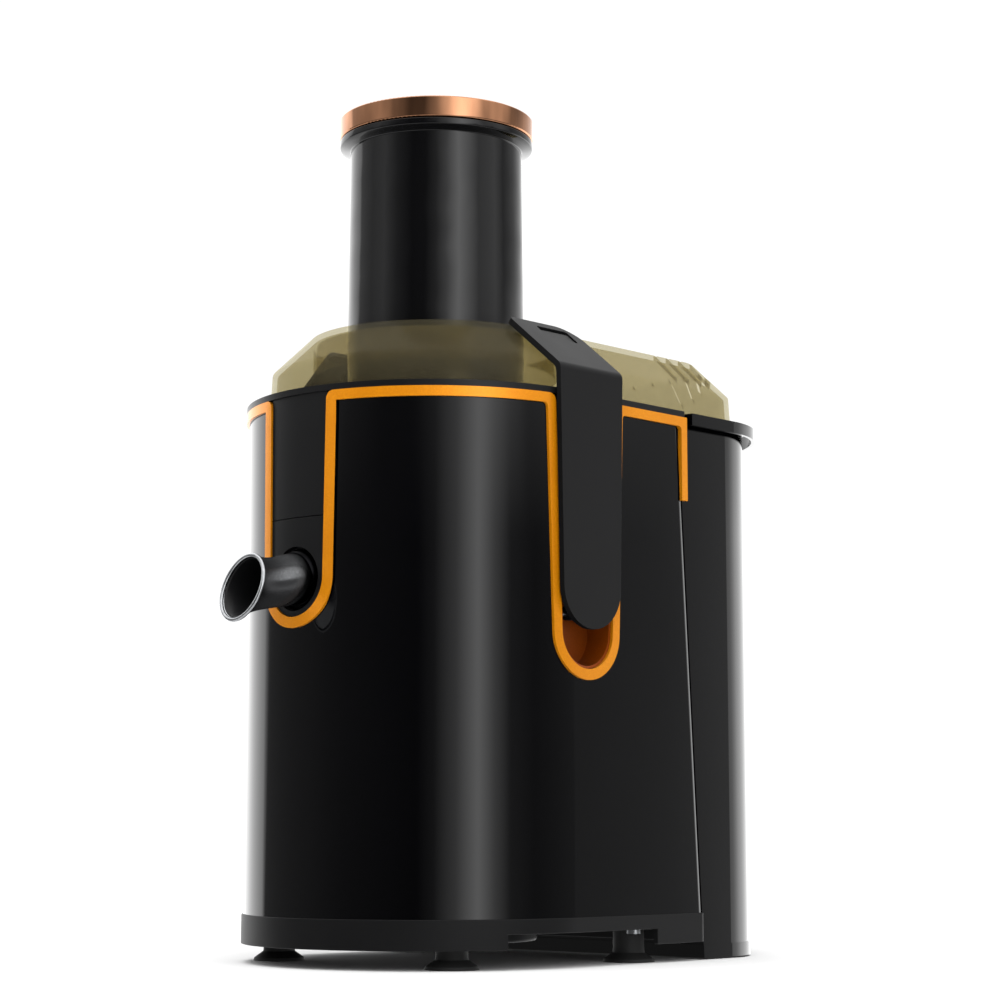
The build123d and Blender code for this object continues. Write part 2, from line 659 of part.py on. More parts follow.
# ---------------------------------------------------------------- clamp arms
ARM_THICK = ARM_OUT - ARM_IN
ARM_RUN = ((ARM_IN - ARM_END[0]) ** 2 + (ARM_END[1] - ARM_BEND) ** 2) ** 0.5
ARM_NORMAL = ((ARM_END[1] - ARM_BEND) / ARM_RUN, 0, (ARM_IN - ARM_END[0]) / ARM_RUN)
CATCH_BACK = 10.0        # distance of the catch's middle from the arm's end, along the slope
CATCH_BEHIND = CLAMP_BEHIND + 4
CATCH_X = ARM_END[0] + CATCH_BACK * ARM_NORMAL[2]
CATCH_Z = ARM_END[1] - CATCH_BACK * ARM_NORMAL[0]
CATCH = Plane(origin=(CATCH_X, BOWL_Y + CATCH_BEHIND, CATCH_Z), x_dir=(0, 1, 0), z_dir=ARM_NORMAL)
CATCH_SIZE = (22.0, 11.0)
with BuildPart() as clamp_right:
    with BuildSketch(FRONT.offset(-CLAMP_BEHIND)):
        with BuildLine():
            Polyline((ARM_IN, ARM_LOW), (ARM_OUT, ARM_LOW), (ARM_OUT, ARM_BEND + 1.5),
                     (ARM_END[0] + ARM_THICK * ARM_NORMAL[0], ARM_END[1] + ARM_THICK * ARM_NORMAL[2]),
                     ARM_END, (ARM_IN, ARM_BEND), close=True)
        make_face()
    extrude(amount=ARM_HALF_TOP + 2, both=True)
    fillet(clamp_right.edges().filter_by(Axis.Y).filter_by_position(Axis.Z, ARM_BEND - 1, ARM_BEND + 3), 5)
    with BuildSketch(SIDE):
        with BuildLine():
            bend_z = ARM_LOW + ARM_LOW_R
            ThreePointArc((CLAMP_BEHIND - ARM_LOW_R, bend_z), (CLAMP_BEHIND, ARM_LOW),
                          (CLAMP_BEHIND + ARM_LOW_R, bend_z))
            Polyline((CLAMP_BEHIND + ARM_LOW_R, bend_z), (CLAMP_BEHIND + ARM_HALF_TOP, ARM_BEND),
                     (CLAMP_BEHIND + ARM_HALF_TOP, ARM_END[1] + 5),
                     (CLAMP_BEHIND - ARM_HALF_TOP, ARM_END[1] + 5),
                     (CLAMP_BEHIND - ARM_HALF_TOP, ARM_BEND), (CLAMP_BEHIND - ARM_LOW_R, bend_z))
        make_face()
    extrude(amount=120, mode=Mode.INTERSECT)
    end_edges = clamp_right.edges().filter_by(lambda e: e.length < 4 and e.center().X < ARM_END[0] + 3)
    end_edges = end_edges.filter_by(lambda e: abs(e.tangent_at(0.5).Y) < 0.1).sort_by(Axis.Y)
    fillet(end_edges[-1], 13)
    fillet(end_edges[0], 3)
    # window for the lid's catch
    with BuildSketch(CATCH.offset(-1)):
        RectangleRounded(*CATCH_SIZE, 1.5)
    extrude(amount=ARM_THICK + 2, mode=Mode.SUBTRACT)
    # ears for the pivot pin
    with BuildSketch(FRONT.offset(-CLAMP_BEHIND)):
        with Locations((PIVOT_X, PIVOT_Z)):
            Circle(EAR_R)
        with Locations(((PIVOT_X + ARM_IN) / 2 + 0.2, PIVOT_Z)):
            Rectangle(ARM_IN - PIVOT_X + 0.4, 2 * EAR_R)
    extrude(amount=12, both=True)
    with BuildSketch(FRONT.offset(-CLAMP_BEHIND)):
        with Locations(((PIVOT_X + ARM_IN) / 2 - 1.7, PIVOT_Z)):
            Rectangle(ARM_IN - PIVOT_X + 3.4, 2 * EAR_R + 1)
    extrude(amount=8, both=True, mode=Mode.SUBTRACT)
    with BuildSketch(FRONT.offset(-CLAMP_BEHIND)):
        with Locations((PIVOT_X, PIVOT_Z)):
            Circle(PIN_R + 0.03)
    extrude(amount=13, both=True, mode=Mode.SUBTRACT)
clamp_right.part.label = "clamp_right"
export_step(clamp_right.part, "parts/clamp_right.step")

with BuildPart() as clamp_left:
    mirror(clamp_right.part, about=Plane.YZ)
clamp_left.part.label = "clamp_left"
export_step(clamp_left.part, "parts/clamp_left.step")

# ---------------------------------------------------------------- lid


def lid_block(shrink, low, top):
    """The lid's outside, or its inside when shrunk: steep walls and a slope up to a flat top."""
    with BuildPart() as block:
        with BuildSketch(BOWL.offset(low)):
            add(long_outline(LID_R_LOW - shrink, LID_REAR + 1 - shrink))
        with BuildSketch(BOWL.offset(SHOULDER_Z - 0.4 * shrink)):
            add(long_outline(LID_R_TOP - shrink, LID_REAR - shrink))
        loft(ruled=True)
        with BuildSketch(BOWL.offset(SHOULDER_Z - 0.4 * shrink)):
            add(long_outline(LID_R_TOP - shrink, LID_REAR - shrink))
        with BuildSketch(BOWL.offset(top)):
            add(long_outline(PLATEAU_R - 0.4 * shrink, LID_REAR - LID_R_TOP + PLATEAU_R - 0.4 * shrink))
        loft(ruled=True)
    return block.part


lid_outside = lid_block(0, RIM_TOP, LID_TOP)
lid_inside = lid_block(LID_WALL, RIM_TOP - 1, LID_TOP - LID_WALL)
SLIT_LENGTH = 15.0
SLIT_WIDTH = 2.2
STRAIGHT_SLITS = [99, 109, 119]
OVAL_SLITS = 15
with BuildPart() as lid:
    add(lid_outside)
    add(lid_inside, mode=Mode.SUBTRACT)
    # rib that turns the pulp down, hanging round the basket
    with BuildSketch(BOWL.offset(SHOULDER_Z)):
        Circle(62.0)
        Circle(60.4, mode=Mode.SUBTRACT)
    extrude(amount=LID_TOP - LID_WALL / 2 - SHOULDER_Z)
    # hole for the feed chute
    with BuildSketch(BOWL.offset(SHOULDER_Z)):
        Circle(CHUTE_R_LOW + 0.1)
    extrude(amount=LID_TOP - SHOULDER_Z + 1, mode=Mode.SUBTRACT)
    # slits down the rear slope: straight across on the sides, square to the edge round the back
    with BuildSketch(BOWL.offset(SHOULDER_Z - 2)):
        mid_slit = PLATEAU_R - 1.5 + SLIT_LENGTH / 2
        with Locations(*[(side * mid_slit, behind) for side in (-1, 1) for behind in STRAIGHT_SLITS]):
            SlotOverall(SLIT_LENGTH, SLIT_WIDTH)
        for number in range(OVAL_SLITS):
            turn = radians(7.5 + 165 * number / (OVAL_SLITS - 1))
            oval_rear = LID_REAR - LID_R_TOP + PLATEAU_R
            outward = Vector(cos(turn) / PLATEAU_R, sin(turn) / oval_rear).normalized()
            middle = Vector(PLATEAU_R * cos(turn), REAR_BEHIND + oval_rear * sin(turn))
            middle = middle + outward * (SLIT_LENGTH / 2 - 1.5)
            with Locations(Location((middle.X, middle.Y, 0), (0, 0, Vector(1, 0).get_signed_angle(outward)))):
                SlotOverall(SLIT_LENGTH, SLIT_WIDTH)
    extrude(amount=LID_TOP - SHOULDER_Z + 4, mode=Mode.SUBTRACT)
lid.part.label = "lid"
export_step(lid.part, "parts/lid.step")

# ---------------------------------------------------------------- feed chute, fixed in the lid
with BuildPart() as feed_chute:
    with BuildSketch(FRONT):
        with BuildLine():
            Polyline((CHUTE_BORE, CHUTE_END), (CHUTE_R_LOW, CHUTE_END), (CHUTE_R_LOW, LID_TOP),
                     (CHUTE_R_TOP, CHUTE_TOP - 5), (CHUTE_FLANGE_R, CHUTE_TOP - 3.4),
                     (CHUTE_FLANGE_R, CHUTE_TOP), (CHUTE_BORE, CHUTE_TOP), close=True)
        make_face()
    revolve(axis=BOWL_AXIS)
feed_chute.part.label = "feed_chute"
export_step(feed_chute.part, "parts/feed_chute.step")

# ---------------------------------------------------------------- catches on the lid for the clamps
CATCH_FIT = 0.8          # clearance in the arm's window, below and at both ends
CATCH_SWING = 2.6        # clearance above, where the arm slides as it swings off
CATCH_RISE = 2.3
with BuildPart() as right_catch:
    with BuildSketch(CATCH.offset(-8)):
        with Locations((0, (CATCH_FIT - CATCH_SWING) / 2)):
            RectangleRounded(CATCH_SIZE[0] - 2 * CATCH_FIT, CATCH_SIZE[1] - CATCH_FIT - CATCH_SWING, 1.0)
    extrude(amount=8 + CATCH_RISE)
    add(lid_outside, mode=Mode.SUBTRACT)
with BuildPart() as lid_catches:
    add(right_catch.part)
    mirror(right_catch.part, about=Plane.YZ)
lid_catches.part.label = "lid_catches"
export_step(lid_catches.part, "parts/lid_catches.step")

# ---------------------------------------------------------------- pusher, its cap and the metal ring
with BuildPart() as pusher:
    with BuildSketch(FRONT):
        with BuildLine():
            Polyline((0, PUSHER_LOW), (PUSHER_R, PUSHER_LOW), (PUSHER_R, CAP_LOW), (PUSHER_R - 2.4, CAP_LOW),
                     (PUSHER_R - 2.4, PUSHER_LOW + 3), (0, PUSHER_LOW + 3), close=True)
        make_face()
    revolve(axis=BOWL_AXIS)
    fillet(pusher.edges().sort_by(Axis.Z)[0], 1.5)
    # guide ribs that keep it in the middle of the chute
    with BuildSketch(BOWL.offset(PUSHER_LOW + 6)):
        with PolarLocations(PUSHER_R + 0.7, 4, start_angle=45):
            Rectangle(2.6, 2.0)
    extrude(amount=CAP_LOW - PUSHER_LOW - 30)
pusher.part.label = "pusher"
export_step(pusher.part, "parts/pusher.step")

with BuildPart() as pusher_cap:
    with BuildSketch(FRONT):
        with BuildLine():
            Polyline((0, CAP_LOW), (RING_R - 2.3, CAP_LOW), (RING_R - 2.3, CAP_TOP - 2.4),
                     (0, CAP_TOP - 1.6), close=True)
        make_face()
    revolve(axis=BOWL_AXIS)
    with BuildSketch(BOWL.offset(CAP_LOW)):
        Circle(PUSHER_R - 2.5)
        Circle(PUSHER_R - 4.7, mode=Mode.SUBTRACT)
    extrude(amount=-10)
pusher_cap.part.label = "pusher_cap"
export_step(pusher_cap.part, "parts/pusher_cap.step")

with BuildPart() as pusher_ring:
    with BuildSketch(FRONT):
        with Locations((RING_R - 1.15, (CAP_LOW + CAP_TOP) / 2)):
            Rectangle(2.3, CAP_TOP - CAP_LOW)
        fillet(vertices(), 0.9)
    revolve(axis=BOWL_AXIS)
pusher_ring.part.label = "pusher_ring"
export_step(pusher_ring.part, "parts/pusher_ring.step")

# ---------------------------------------------------------------- pulp bin


def bin_block(shrink, low, high):
    """The bin's outside, or its inside when shrunk, with its front wall slanted like the body's back."""
    with BuildPart() as block:
        with BuildSketch(BOWL.offset(low)):
            add(rear_outline(BIN_R - shrink, BIN_REAR - shrink, 60))
        extrude(amount=high - low)
        split(bisect_by=back_plane(-BIN_FRONT_GAP - shrink), keep=Keep.TOP)
    return block.part


bin_outside = bin_block(0, BIN_LOW, BIN_TOP)
bin_foot = bin_block(-0.8, BIN_LOW, BIN_LOW + 6.7)
bin_inside = bin_block(BIN_WALL, BIN_LOW + BIN_WALL, BIN_TOP + 1)
with BuildPart() as pulp_bin:
    add(bin_outside)
    with BuildSketch(BOWL.offset(BIN_TOP - 2.4)):
        add(rear_outline(BIN_LIP_R, BIN_LIP_REAR, TAIL_REAR + 3))
    extrude(amount=2.4)
    with BuildSketch(BOWL.offset(BIN_TOP - 6)):
        add(rear_outline(BIN_LIP_R, BIN_LIP_REAR, TAIL_REAR + 3))
        add(rear_outline(BIN_LIP_R - 1.8, BIN_LIP_REAR - 1.8, TAIL_REAR - 3), mode=Mode.SUBTRACT)
    extrude(amount=5)
    add(bin_foot)
    add(bin_inside, mode=Mode.SUBTRACT)
pulp_bin.part.label = "pulp_bin"
export_step(pulp_bin.part, "parts/pulp_bin.step")

# ---------------------------------------------------------------- filter basket
with BuildPart() as basket_rim:
    with BuildSketch(FRONT):
        with BuildLine():
            Polyline((BASKET_R_TOP + 0.6, MESH_TOP - 1), (74.5, MESH_TOP - 1), (74.5, BASKET_RIM_TOP - 2),
                     (73.0, BASKET_RIM_TOP), (BASKET_R_TOP + 1.2, BASKET_RIM_TOP), close=True)
        make_face()
    revolve(axis=BOWL_AXIS)
basket_rim.part.label = "basket_rim"
export_step(basket_rim.part, "parts/basket_rim.step")

with BuildPart() as filter_mesh:
    with BuildSketch(FRONT):
        with BuildLine():
            Polyline((BASKET_R_LOW, BASKET_FLOOR), (BASKET_R_LOW + 0.9, BASKET_FLOOR),
                     (BASKET_R_TOP + 0.5, MESH_TOP - 1), (BASKET_R_TOP + 0.5, MESH_TOP + 3),
                     (BASKET_R_TOP - 0.4, MESH_TOP + 3), (BASKET_R_TOP - 0.4, MESH_TOP - 1), close=True)
        make_face()
    revolve(axis=BOWL_AXIS)
filter_mesh.part.label = "filter_mesh"
export_step(filter_mesh.part, "parts/filter_mesh.step")

HUB_R = CHIMNEY_R - 0.8
with BuildPart() as basket_base:
    with BuildSketch(FRONT):
        with BuildLine():
            Polyline((0, CHIMNEY_TOP + 4), (14.6, CHIMNEY_TOP + 4), (14.6, CHIMNEY_TOP - 12),
                     (HUB_R, CHIMNEY_TOP - 12), (HUB_R, CHIMNEY_TOP + 1.5), (CHIMNEY_R + 4, CHIMNEY_TOP + 1.5),
                     (CHIMNEY_R + 4, CHIMNEY_TOP - 8), (CHIMNEY_R + 6, CHIMNEY_TOP - 8),
                     (CHIMNEY_R + 6, CHIMNEY_TOP + 2), (BASKET_R_LOW + 2, BASKET_FLOOR - 4),
                     (BASKET_R_LOW + 2, BASKET_FLOOR), (0, BASKET_FLOOR), close=True)
        make_face()
    revolve(axis=BOWL_AXIS)
basket_base.part.label = "basket_base"
export_step(basket_base.part, "parts/basket_base.step")

TEETH_RINGS = [(16, 8), (24, 12), (32, 16), (40, 20)]
with BuildPart() as grater_disc:
    with BuildSketch(BOWL.offset(BASKET_FLOOR)):
        Circle(BASKET_R_LOW - 1)
    extrude(amount=0.9)
    for ring_radius, tooth_count in TEETH_RINGS:
        with Locations(Location((0, BOWL_Y, BASKET_FLOOR + 1.6))):
            with PolarLocations(ring_radius, tooth_count):
                Cone(bottom_radius=1.5, top_radius=0.3, height=1.6)
    with BuildSketch(BOWL.offset(BASKET_FLOOR)):
        Circle(7)
    extrude(amount=2.2)
grater_disc.part.label = "grater_disc"
export_step(grater_disc.part, "parts/grater_disc.step")

# ---------------------------------------------------------------- drive: coupling, shaft and seal
with BuildPart() as drive_coupling:
    with BuildSketch(BOWL.offset(BOWL_FLOOR)):
        Circle(12.4)
        with PolarLocations(12.6, 8):
            Rectangle(3.2, 3.0)
        Circle(SHAFT_R, mode=Mode.SUBTRACT)
    extrude(amount=CHIMNEY_TOP + 3.5 - BOWL_FLOOR)
drive_coupling.part.label = "drive_coupling"
export_step(drive_coupling.part, "parts/drive_coupling.step")

with BuildPart() as shaft_seal:
    with BuildSketch(BOWL.offset(SEAT_LOW)):
        Circle(12)
        Circle(SHAFT_R + 0.05, mode=Mode.SUBTRACT)
    extrude(amount=5)
shaft_seal.part.label = "shaft_seal"
export_step(shaft_seal.part, "parts/shaft_seal.step")

with BuildPart() as motor_shaft:
    with BuildSketch(BOWL.offset(SHAFT_LOW)):
        Circle(SHAFT_R)
    extrude(amount=CHIMNEY_TOP + 3 - SHAFT_LOW)
motor_shaft.part.label = "motor_shaft"
export_step(motor_shaft.part, "parts/motor_shaft.step")

# ---------------------------------------------------------------- motor, turning pieces
with BuildPart() as rotor_core:
    with BuildSketch(BOWL.offset(STATOR_LOW)):
        Circle(ROTOR_R)
        Circle(SHAFT_R, mode=Mode.SUBTRACT)
        with PolarLocations(ROTOR_R - 3, 12):
            SlotOverall(9, 3, mode=Mode.SUBTRACT)
    extrude(amount=STATOR_TOP - STATOR_LOW)
rotor_core.part.label = "rotor_core"
export_step(rotor_core.part, "parts/rotor_core.step")

with BuildPart() as rotor_windings:
    for low, high in [(STATOR_LOW - 8, STATOR_LOW), (STATOR_TOP, STATOR_TOP + 8)]:
        with BuildSketch(BOWL.offset(low)):
            Circle(ROTOR_R - 2.5)
            Circle(8, mode=Mode.SUBTRACT)
        extrude(amount=high - low)
    fillet(rotor_windings.edges().group_by(Axis.Z)[0], 2)
    fillet(rotor_windings.edges().group_by(Axis.Z)[-1], 2)
rotor_windings.part.label = "rotor_windings"
export_step(rotor_windings.part, "parts/rotor_windings.step")

with BuildPart() as commutator:
    with BuildSketch(BOWL.offset(56)):
        Circle(13)
        Circle(SHAFT_R, mode=Mode.SUBTRACT)
        with PolarLocations(12.6, 24):
            Rectangle(1.6, 0.7, mode=Mode.SUBTRACT)
    extrude(amount=18)
commutator.part.label = "commutator"
export_step(commutator.part, "parts/commutator.step")

with BuildPart() as cooling_fan:
    with BuildSketch(BOWL.offset(136)):
        Circle(38)
        Circle(SHAFT_R, mode=Mode.SUBTRACT)
    extrude(amount=1.6)
    with BuildSketch(BOWL.offset(136)):
        Circle(9)
        Circle(SHAFT_R, mode=Mode.SUBTRACT)
        with PolarLocations(23.5, 11):
            Rectangle(28, 1.6)
    extrude(amount=12)
cooling_fan.part.label = "cooling_fan"
export_step(cooling_fan.part, "parts/cooling_fan.step")

# ---------------------------------------------------------------- motor, standing pieces
with BuildPart() as stator_core:
    with BuildSketch(BOWL.offset(STATOR_LOW)):
        RectangleRounded(2 * STATOR_HALF, 2 * STATOR_HALF, 12)
        Circle(34, mode=Mode.SUBTRACT)
        for side in (-1, 1):
            with Locations((side * 30, 0)):
                Rectangle(12, 26)
        Circle(ROTOR_R + 0.8, mode=Mode.SUBTRACT)
        with Locations(*MOTOR_BOLTS):
            Circle(2.0, mode=Mode.SUBTRACT)
    extrude(amount=STATOR_TOP - STATOR_LOW)
stator_core.part.label = "stator_core"
export_step(stator_core.part, "parts/stator_core.step")

with BuildPart() as field_coils:
    for low, high in [(STATOR_LOW - 9, STATOR_LOW), (STATOR_TOP, STATOR_TOP + 9)]:
        with BuildSketch(BOWL.offset(low)):
            Circle(36)
            Circle(26, mode=Mode.SUBTRACT)
            Rectangle(20, 80, mode=Mode.SUBTRACT)
        extrude(amount=high - low)
field_coils.part.label = "field_coils"
export_step(field_coils.part, "parts/field_coils.step")

with BuildPart() as upper_bearing:
    with BuildSketch(BOWL.offset(BRACKET_TOP - 6)):
        Circle(11)
        Circle(SHAFT_R + 0.03, mode=Mode.SUBTRACT)
    extrude(amount=7)
upper_bearing.part.label = "upper_bearing"
export_step(upper_bearing.part, "parts/upper_bearing.step")

with BuildPart() as lower_bearing:
    with BuildSketch(BOWL.offset(44)):
        Circle(11)
        Circle(SHAFT_R + 0.03, mode=Mode.SUBTRACT)
    extrude(amount=7)
lower_bearing.part.label = "lower_bearing"
export_step(lower_bearing.part, "parts/lower_bearing.step")

with BuildPart() as upper_bracket:
    with BuildSketch(BOWL.offset(BRACKET_TOP - 4)):
        Circle(52)
        with Locations(*MOUNT_SPOTS):
            Circle(9)
        Circle(11, mode=Mode.SUBTRACT)
        with Locations(*MOTOR_BOLTS):
            Circle(2.0, mode=Mode.SUBTRACT)
        with PolarLocations(31, 6, start_angle=0):
            SlotOverall(18, 7, mode=Mode.SUBTRACT)
    extrude(amount=4)
    with BuildSketch(BOWL.offset(BRACKET_TOP - 6)):
        Circle(14)
        Circle(11, mode=Mode.SUBTRACT)
    extrude(amount=7)
    with BuildSketch(BOWL.offset(BRACKET_TOP - 6)):
        with Locations(*MOUNT_SPOTS):
            Circle(1.6)
    extrude(amount=8, mode=Mode.SUBTRACT)
upper_bracket.part.label = "upper_bracket"
export_step(upper_bracket.part, "parts/upper_bracket.step")

with BuildPart() as lower_bracket:
    with BuildSketch(BOWL.offset(46)):
        Circle(14)
        with Locations(*MOTOR_BOLTS):
            Circle(6)
        Rectangle(12, 98, rotation=45)
        Rectangle(12, 98, rotation=-45)
        Circle(11, mode=Mode.SUBTRACT)
        with Locations(*MOTOR_BOLTS):
            Circle(2.0, mode=Mode.SUBTRACT)
    extrude(amount=4)
    with BuildSketch(BOWL.offset(50)):
        with Locations(*MOTOR_BOLTS):
            Circle(5)
            Circle(2.0, mode=Mode.SUBTRACT)
    extrude(amount=STATOR_LOW - 50)
lower_bracket.part.label = "lower_bracket"
export_step(lower_bracket.part, "parts/lower_bracket.step")

with BuildPart() as motor_spacers:
    with BuildSketch(BOWL.offset(STATOR_TOP)):
        with Locations(*MOTOR_BOLTS):
            Circle(4)
            Circle(2.0, mode=Mode.SUBTRACT)
    extrude(amount=BRACKET_TOP - 4 - STATOR_TOP)
motor_spacers.part.label = "motor_spacers"
export_step(motor_spacers.part, "parts/motor_spacers.step")

with BuildPart() as motor_screws:
    with BuildSketch(BOWL.offset(43)):
        with Locations(*MOTOR_BOLTS):
            Circle(3.6)
    extrude(amount=3)
    with BuildSketch(BOWL.offset(46)):
        with Locations(*MOTOR_BOLTS):
            Circle(1.9)
    extrude(amount=BRACKET_TOP + 2 - 46)
motor_screws.part.label = "motor_screws"
export_step(motor_screws.part, "parts/motor_screws.step")

with BuildPart() as rubber_mounts:
    with BuildSketch(BOWL.offset(BRACKET_TOP)):
        with Locations(*MOUNT_SPOTS):
            Circle(7)
    extrude(amount=SEAT_LOW - BRACKET_TOP)
    with BuildSketch(BOWL.offset(BRACKET_TOP - 6)):
        with Locations(*MOUNT_SPOTS):
            Circle(1.6)
    extrude(amount=6)
    with BuildSketch(BOWL.offset(SEAT_LOW)):
        with Locations(*MOUNT_SPOTS):
            Circle(2.0)
    extrude(amount=3.6)
rubber_mounts.part.label = "rubber_mounts"
export_step(rubber_mounts.part, "parts/rubber_mounts.step")

with BuildPart() as brush_holders:
    with BuildSketch(BOWL.offset(60)):
        with Locations((0, 27), (0, -27)):
            Rectangle(10, 25)
    extrude(amount=10)
    with BuildSketch(BOWL.offset(62)):
        with Locations((0, 24), (0, -24)):
            Rectangle(6.6, 25)
    extrude(amount=6.2, mode=Mode.SUBTRACT)
    with BuildSketch(BOWL.offset(50)):
        with Locations((0, 33), (0, -33)):
            Rectangle(10, 5)
    extrude(amount=10)
brush_holders.part.label = "brush_holders"
export_step(brush_holders.part, "parts/brush_holders.step")

with BuildPart() as carbon_brushes:
    with BuildSketch(BOWL.offset(62)):
        with Locations((0, 20.1), (0, -20.1)):
            Rectangle(6.4, 14)
    extrude(amount=6)
carbon_brushes.part.label = "carbon_brushes"
export_step(carbon_brushes.part, "parts/carbon_brushes.step")

with BuildPart() as brush_springs:
    for side in (-1, 1):
        with BuildSketch(Plane(origin=(0, BOWL_Y + side * 27.1, 65), z_dir=(0, side, 0))):
            Circle(2.6)
            Circle(1.8, mode=Mode.SUBTRACT)
        extrude(amount=9.2)
brush_springs.part.label = "brush_springs"
export_step(brush_springs.part, "parts/brush_springs.step")

# ---------------------------------------------------------------- controls and wiring blocks
with BuildPart() as control_board:
    with BuildSketch(BOWL.offset(34)):
        with Locations((0, 66)):
            Rectangle(80, 40)
    extrude(amount=1.6)
    with BuildSketch(BOWL.offset(35.6)):
        with Locations((-24, 66), (22, 74)):
            Rectangle(16, 12)
        with Locations((6, 60)):
            Circle(7)
    extrude(amount=14)
    with BuildSketch(BOWL.offset(FLOOR_TOP)):
        with Locations((-36, 50), (36, 50), (-36, 82), (36, 82)):
            Circle(3)
    extrude(amount=34 - FLOOR_TOP)
control_board.part.label = "control_board"
export_step(control_board.part, "parts/control_board.step")

with BuildPart() as terminal_block:
    with BuildSketch(BOWL.offset(FLOOR_TOP)):
        with Locations((50, 72)):
            Rectangle(12, 26)
    extrude(amount=11)
    with BuildSketch(BOWL.offset(FLOOR_TOP + 11)):
        with Locations((50, 64), (50, 72), (50, 80)):
            Circle(2.2)
    extrude(amount=-4, mode=Mode.SUBTRACT)
terminal_block.part.label = "terminal_block"
export_step(terminal_block.part, "parts/terminal_block.step")

dish_floor = BODY_R - DISH_DEPTH
with BuildPart() as speed_switch:
    with BuildSketch(SIDE.offset(-dish_floor + 2.5)):
        with Locations((KNOB_BEHIND, KNOB_Z)):
            RectangleRounded(26, 26, 3)
    extrude(amount=17)
speed_switch.part.label = "speed_switch"
export_step(speed_switch.part, "parts/speed_switch.step")

with BuildPart() as speed_knob:
    with BuildSketch(SIDE.offset(-dish_floor - 0.3)):
        with Locations((KNOB_BEHIND, KNOB_Z)):
            Circle(KNOB_R)
            with PolarLocations(KNOB_R + 0.9, 24):
                Circle(1.6, mode=Mode.SUBTRACT)
    extrude(amount=-7)
    with BuildSketch(SIDE.offset(-dish_floor - 7.3)):
        with Locations((KNOB_BEHIND, KNOB_Z)):
            Circle(KNOB_R - 1)
    extrude(amount=-1)
    with BuildSketch(SIDE.offset(-dish_floor - 8.3)):
        with Locations((KNOB_BEHIND, KNOB_Z)):
            SlotOverall(30, 6, rotation=90)
    extrude(amount=-3)
    with BuildSketch(SIDE.offset(-dish_floor - 0.3)):
        with Locations((KNOB_BEHIND, KNOB_Z)):
            Circle(3.0)
    extrude(amount=2.7)
speed_knob.part.label = "speed_knob"
export_step(speed_knob.part, "parts/speed_knob.step")

with BuildPart() as interlock_switch:
    with BuildSketch(SIDE.offset(BOWL_R_TOP + BOWL_WALL + 0.6)):
        with Locations((CLAMP_BEHIND, PLUNGER_Z)):
            Rectangle(20, 10)
    extrude(amount=BODY_R - BODY_WALL - 0.1 - BOWL_R_TOP - BOWL_WALL - 0.6)
    with BuildSketch(SIDE.offset(BODY_R)):
        with Locations((CLAMP_BEHIND, PLUNGER_Z)):
            Circle(PLUNGER_R + 0.06)
    extrude(amount=-9, mode=Mode.SUBTRACT)
interlock_switch.part.label = "interlock_switch"
export_step(interlock_switch.part, "parts/interlock_switch.step")

with BuildPart() as interlock_plunger:
    with BuildSketch(SIDE.offset(BODY_R - 8.5)):
        with Locations((CLAMP_BEHIND, PLUNGER_Z)):
            Circle(PLUNGER_R)
    extrude(amount=ARM_IN - 0.15 - BODY_R + 8.5)
interlock_plunger.part.label = "interlock_plunger"
export_step(interlock_plunger.part, "parts/interlock_plunger.step")
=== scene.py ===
# %% [markdown]
# # A centrifugal juicer
# A tall juicer with a wide feed chute, a smoked lid, a tilting steel spout and a pulp bin behind.
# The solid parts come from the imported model, which stays where it is. What is added here is the
# finish of each part, a thin sleeve in the spout, the raised marks of the speed dial and the studio.
# Every shape added is worked out with numpy as a function of two parameters, so that one line of
# algebra says what the piece is.

# %% Start
import json
import math

import bmesh
import bpy
import numpy as np
from mathutils import Matrix, Vector


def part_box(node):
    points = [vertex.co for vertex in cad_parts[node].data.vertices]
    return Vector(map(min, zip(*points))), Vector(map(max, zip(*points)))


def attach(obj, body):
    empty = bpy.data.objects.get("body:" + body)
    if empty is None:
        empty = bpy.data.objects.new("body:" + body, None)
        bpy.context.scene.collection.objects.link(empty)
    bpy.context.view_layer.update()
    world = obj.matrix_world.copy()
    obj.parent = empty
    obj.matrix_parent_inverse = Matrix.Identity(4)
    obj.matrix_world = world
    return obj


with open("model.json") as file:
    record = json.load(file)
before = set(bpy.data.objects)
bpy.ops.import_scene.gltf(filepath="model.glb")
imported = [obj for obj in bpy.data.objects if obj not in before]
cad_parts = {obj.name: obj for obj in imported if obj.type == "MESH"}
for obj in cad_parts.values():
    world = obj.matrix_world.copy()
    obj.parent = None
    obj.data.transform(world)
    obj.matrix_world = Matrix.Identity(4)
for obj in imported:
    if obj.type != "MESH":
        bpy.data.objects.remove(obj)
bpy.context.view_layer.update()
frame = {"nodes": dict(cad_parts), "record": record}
nodes = frame["nodes"]

# %% [markdown]
# ## Measures taken from the model
# The chute, the bowl and the motor share one upright axis. Its place is read from the parts that
# turn about it, so no number is repeated from the drawing. Lengths are in metres, and MM turns the
# millimetres of a drawing into them.

# %% Measures
MM = 0.001


def middle(node):
    """The middle of a part's box."""
    low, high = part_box(node)
    return (low + high) / 2


axis_y = middle("motor_shaft").y
print("bowl axis at y =", round(axis_y, 5))

# %% [markdown]
# ## Colours
# Paint and plastic colours are quoted as sRGB hex values. A renderer adds up light, so it needs them
# linear: each channel c becomes c/12.92 near black and ((c + 0.055)/1.055)^2.4 above.

# %% Colour helper


def colour(code):
    """An sRGB hex value as linear red, green, blue and 1."""
    srgb = np.array([int(code[i:i + 2], 16) for i in (1, 3, 5)]) / 255
    linear = np.where(srgb <= 0.04045, srgb / 12.92, ((srgb + 0.055) / 1.055) ** 2.4)
    return (*linear.tolist(), 1.0)


print("mid grey in linear light:", round(colour("#808080")[0], 3))

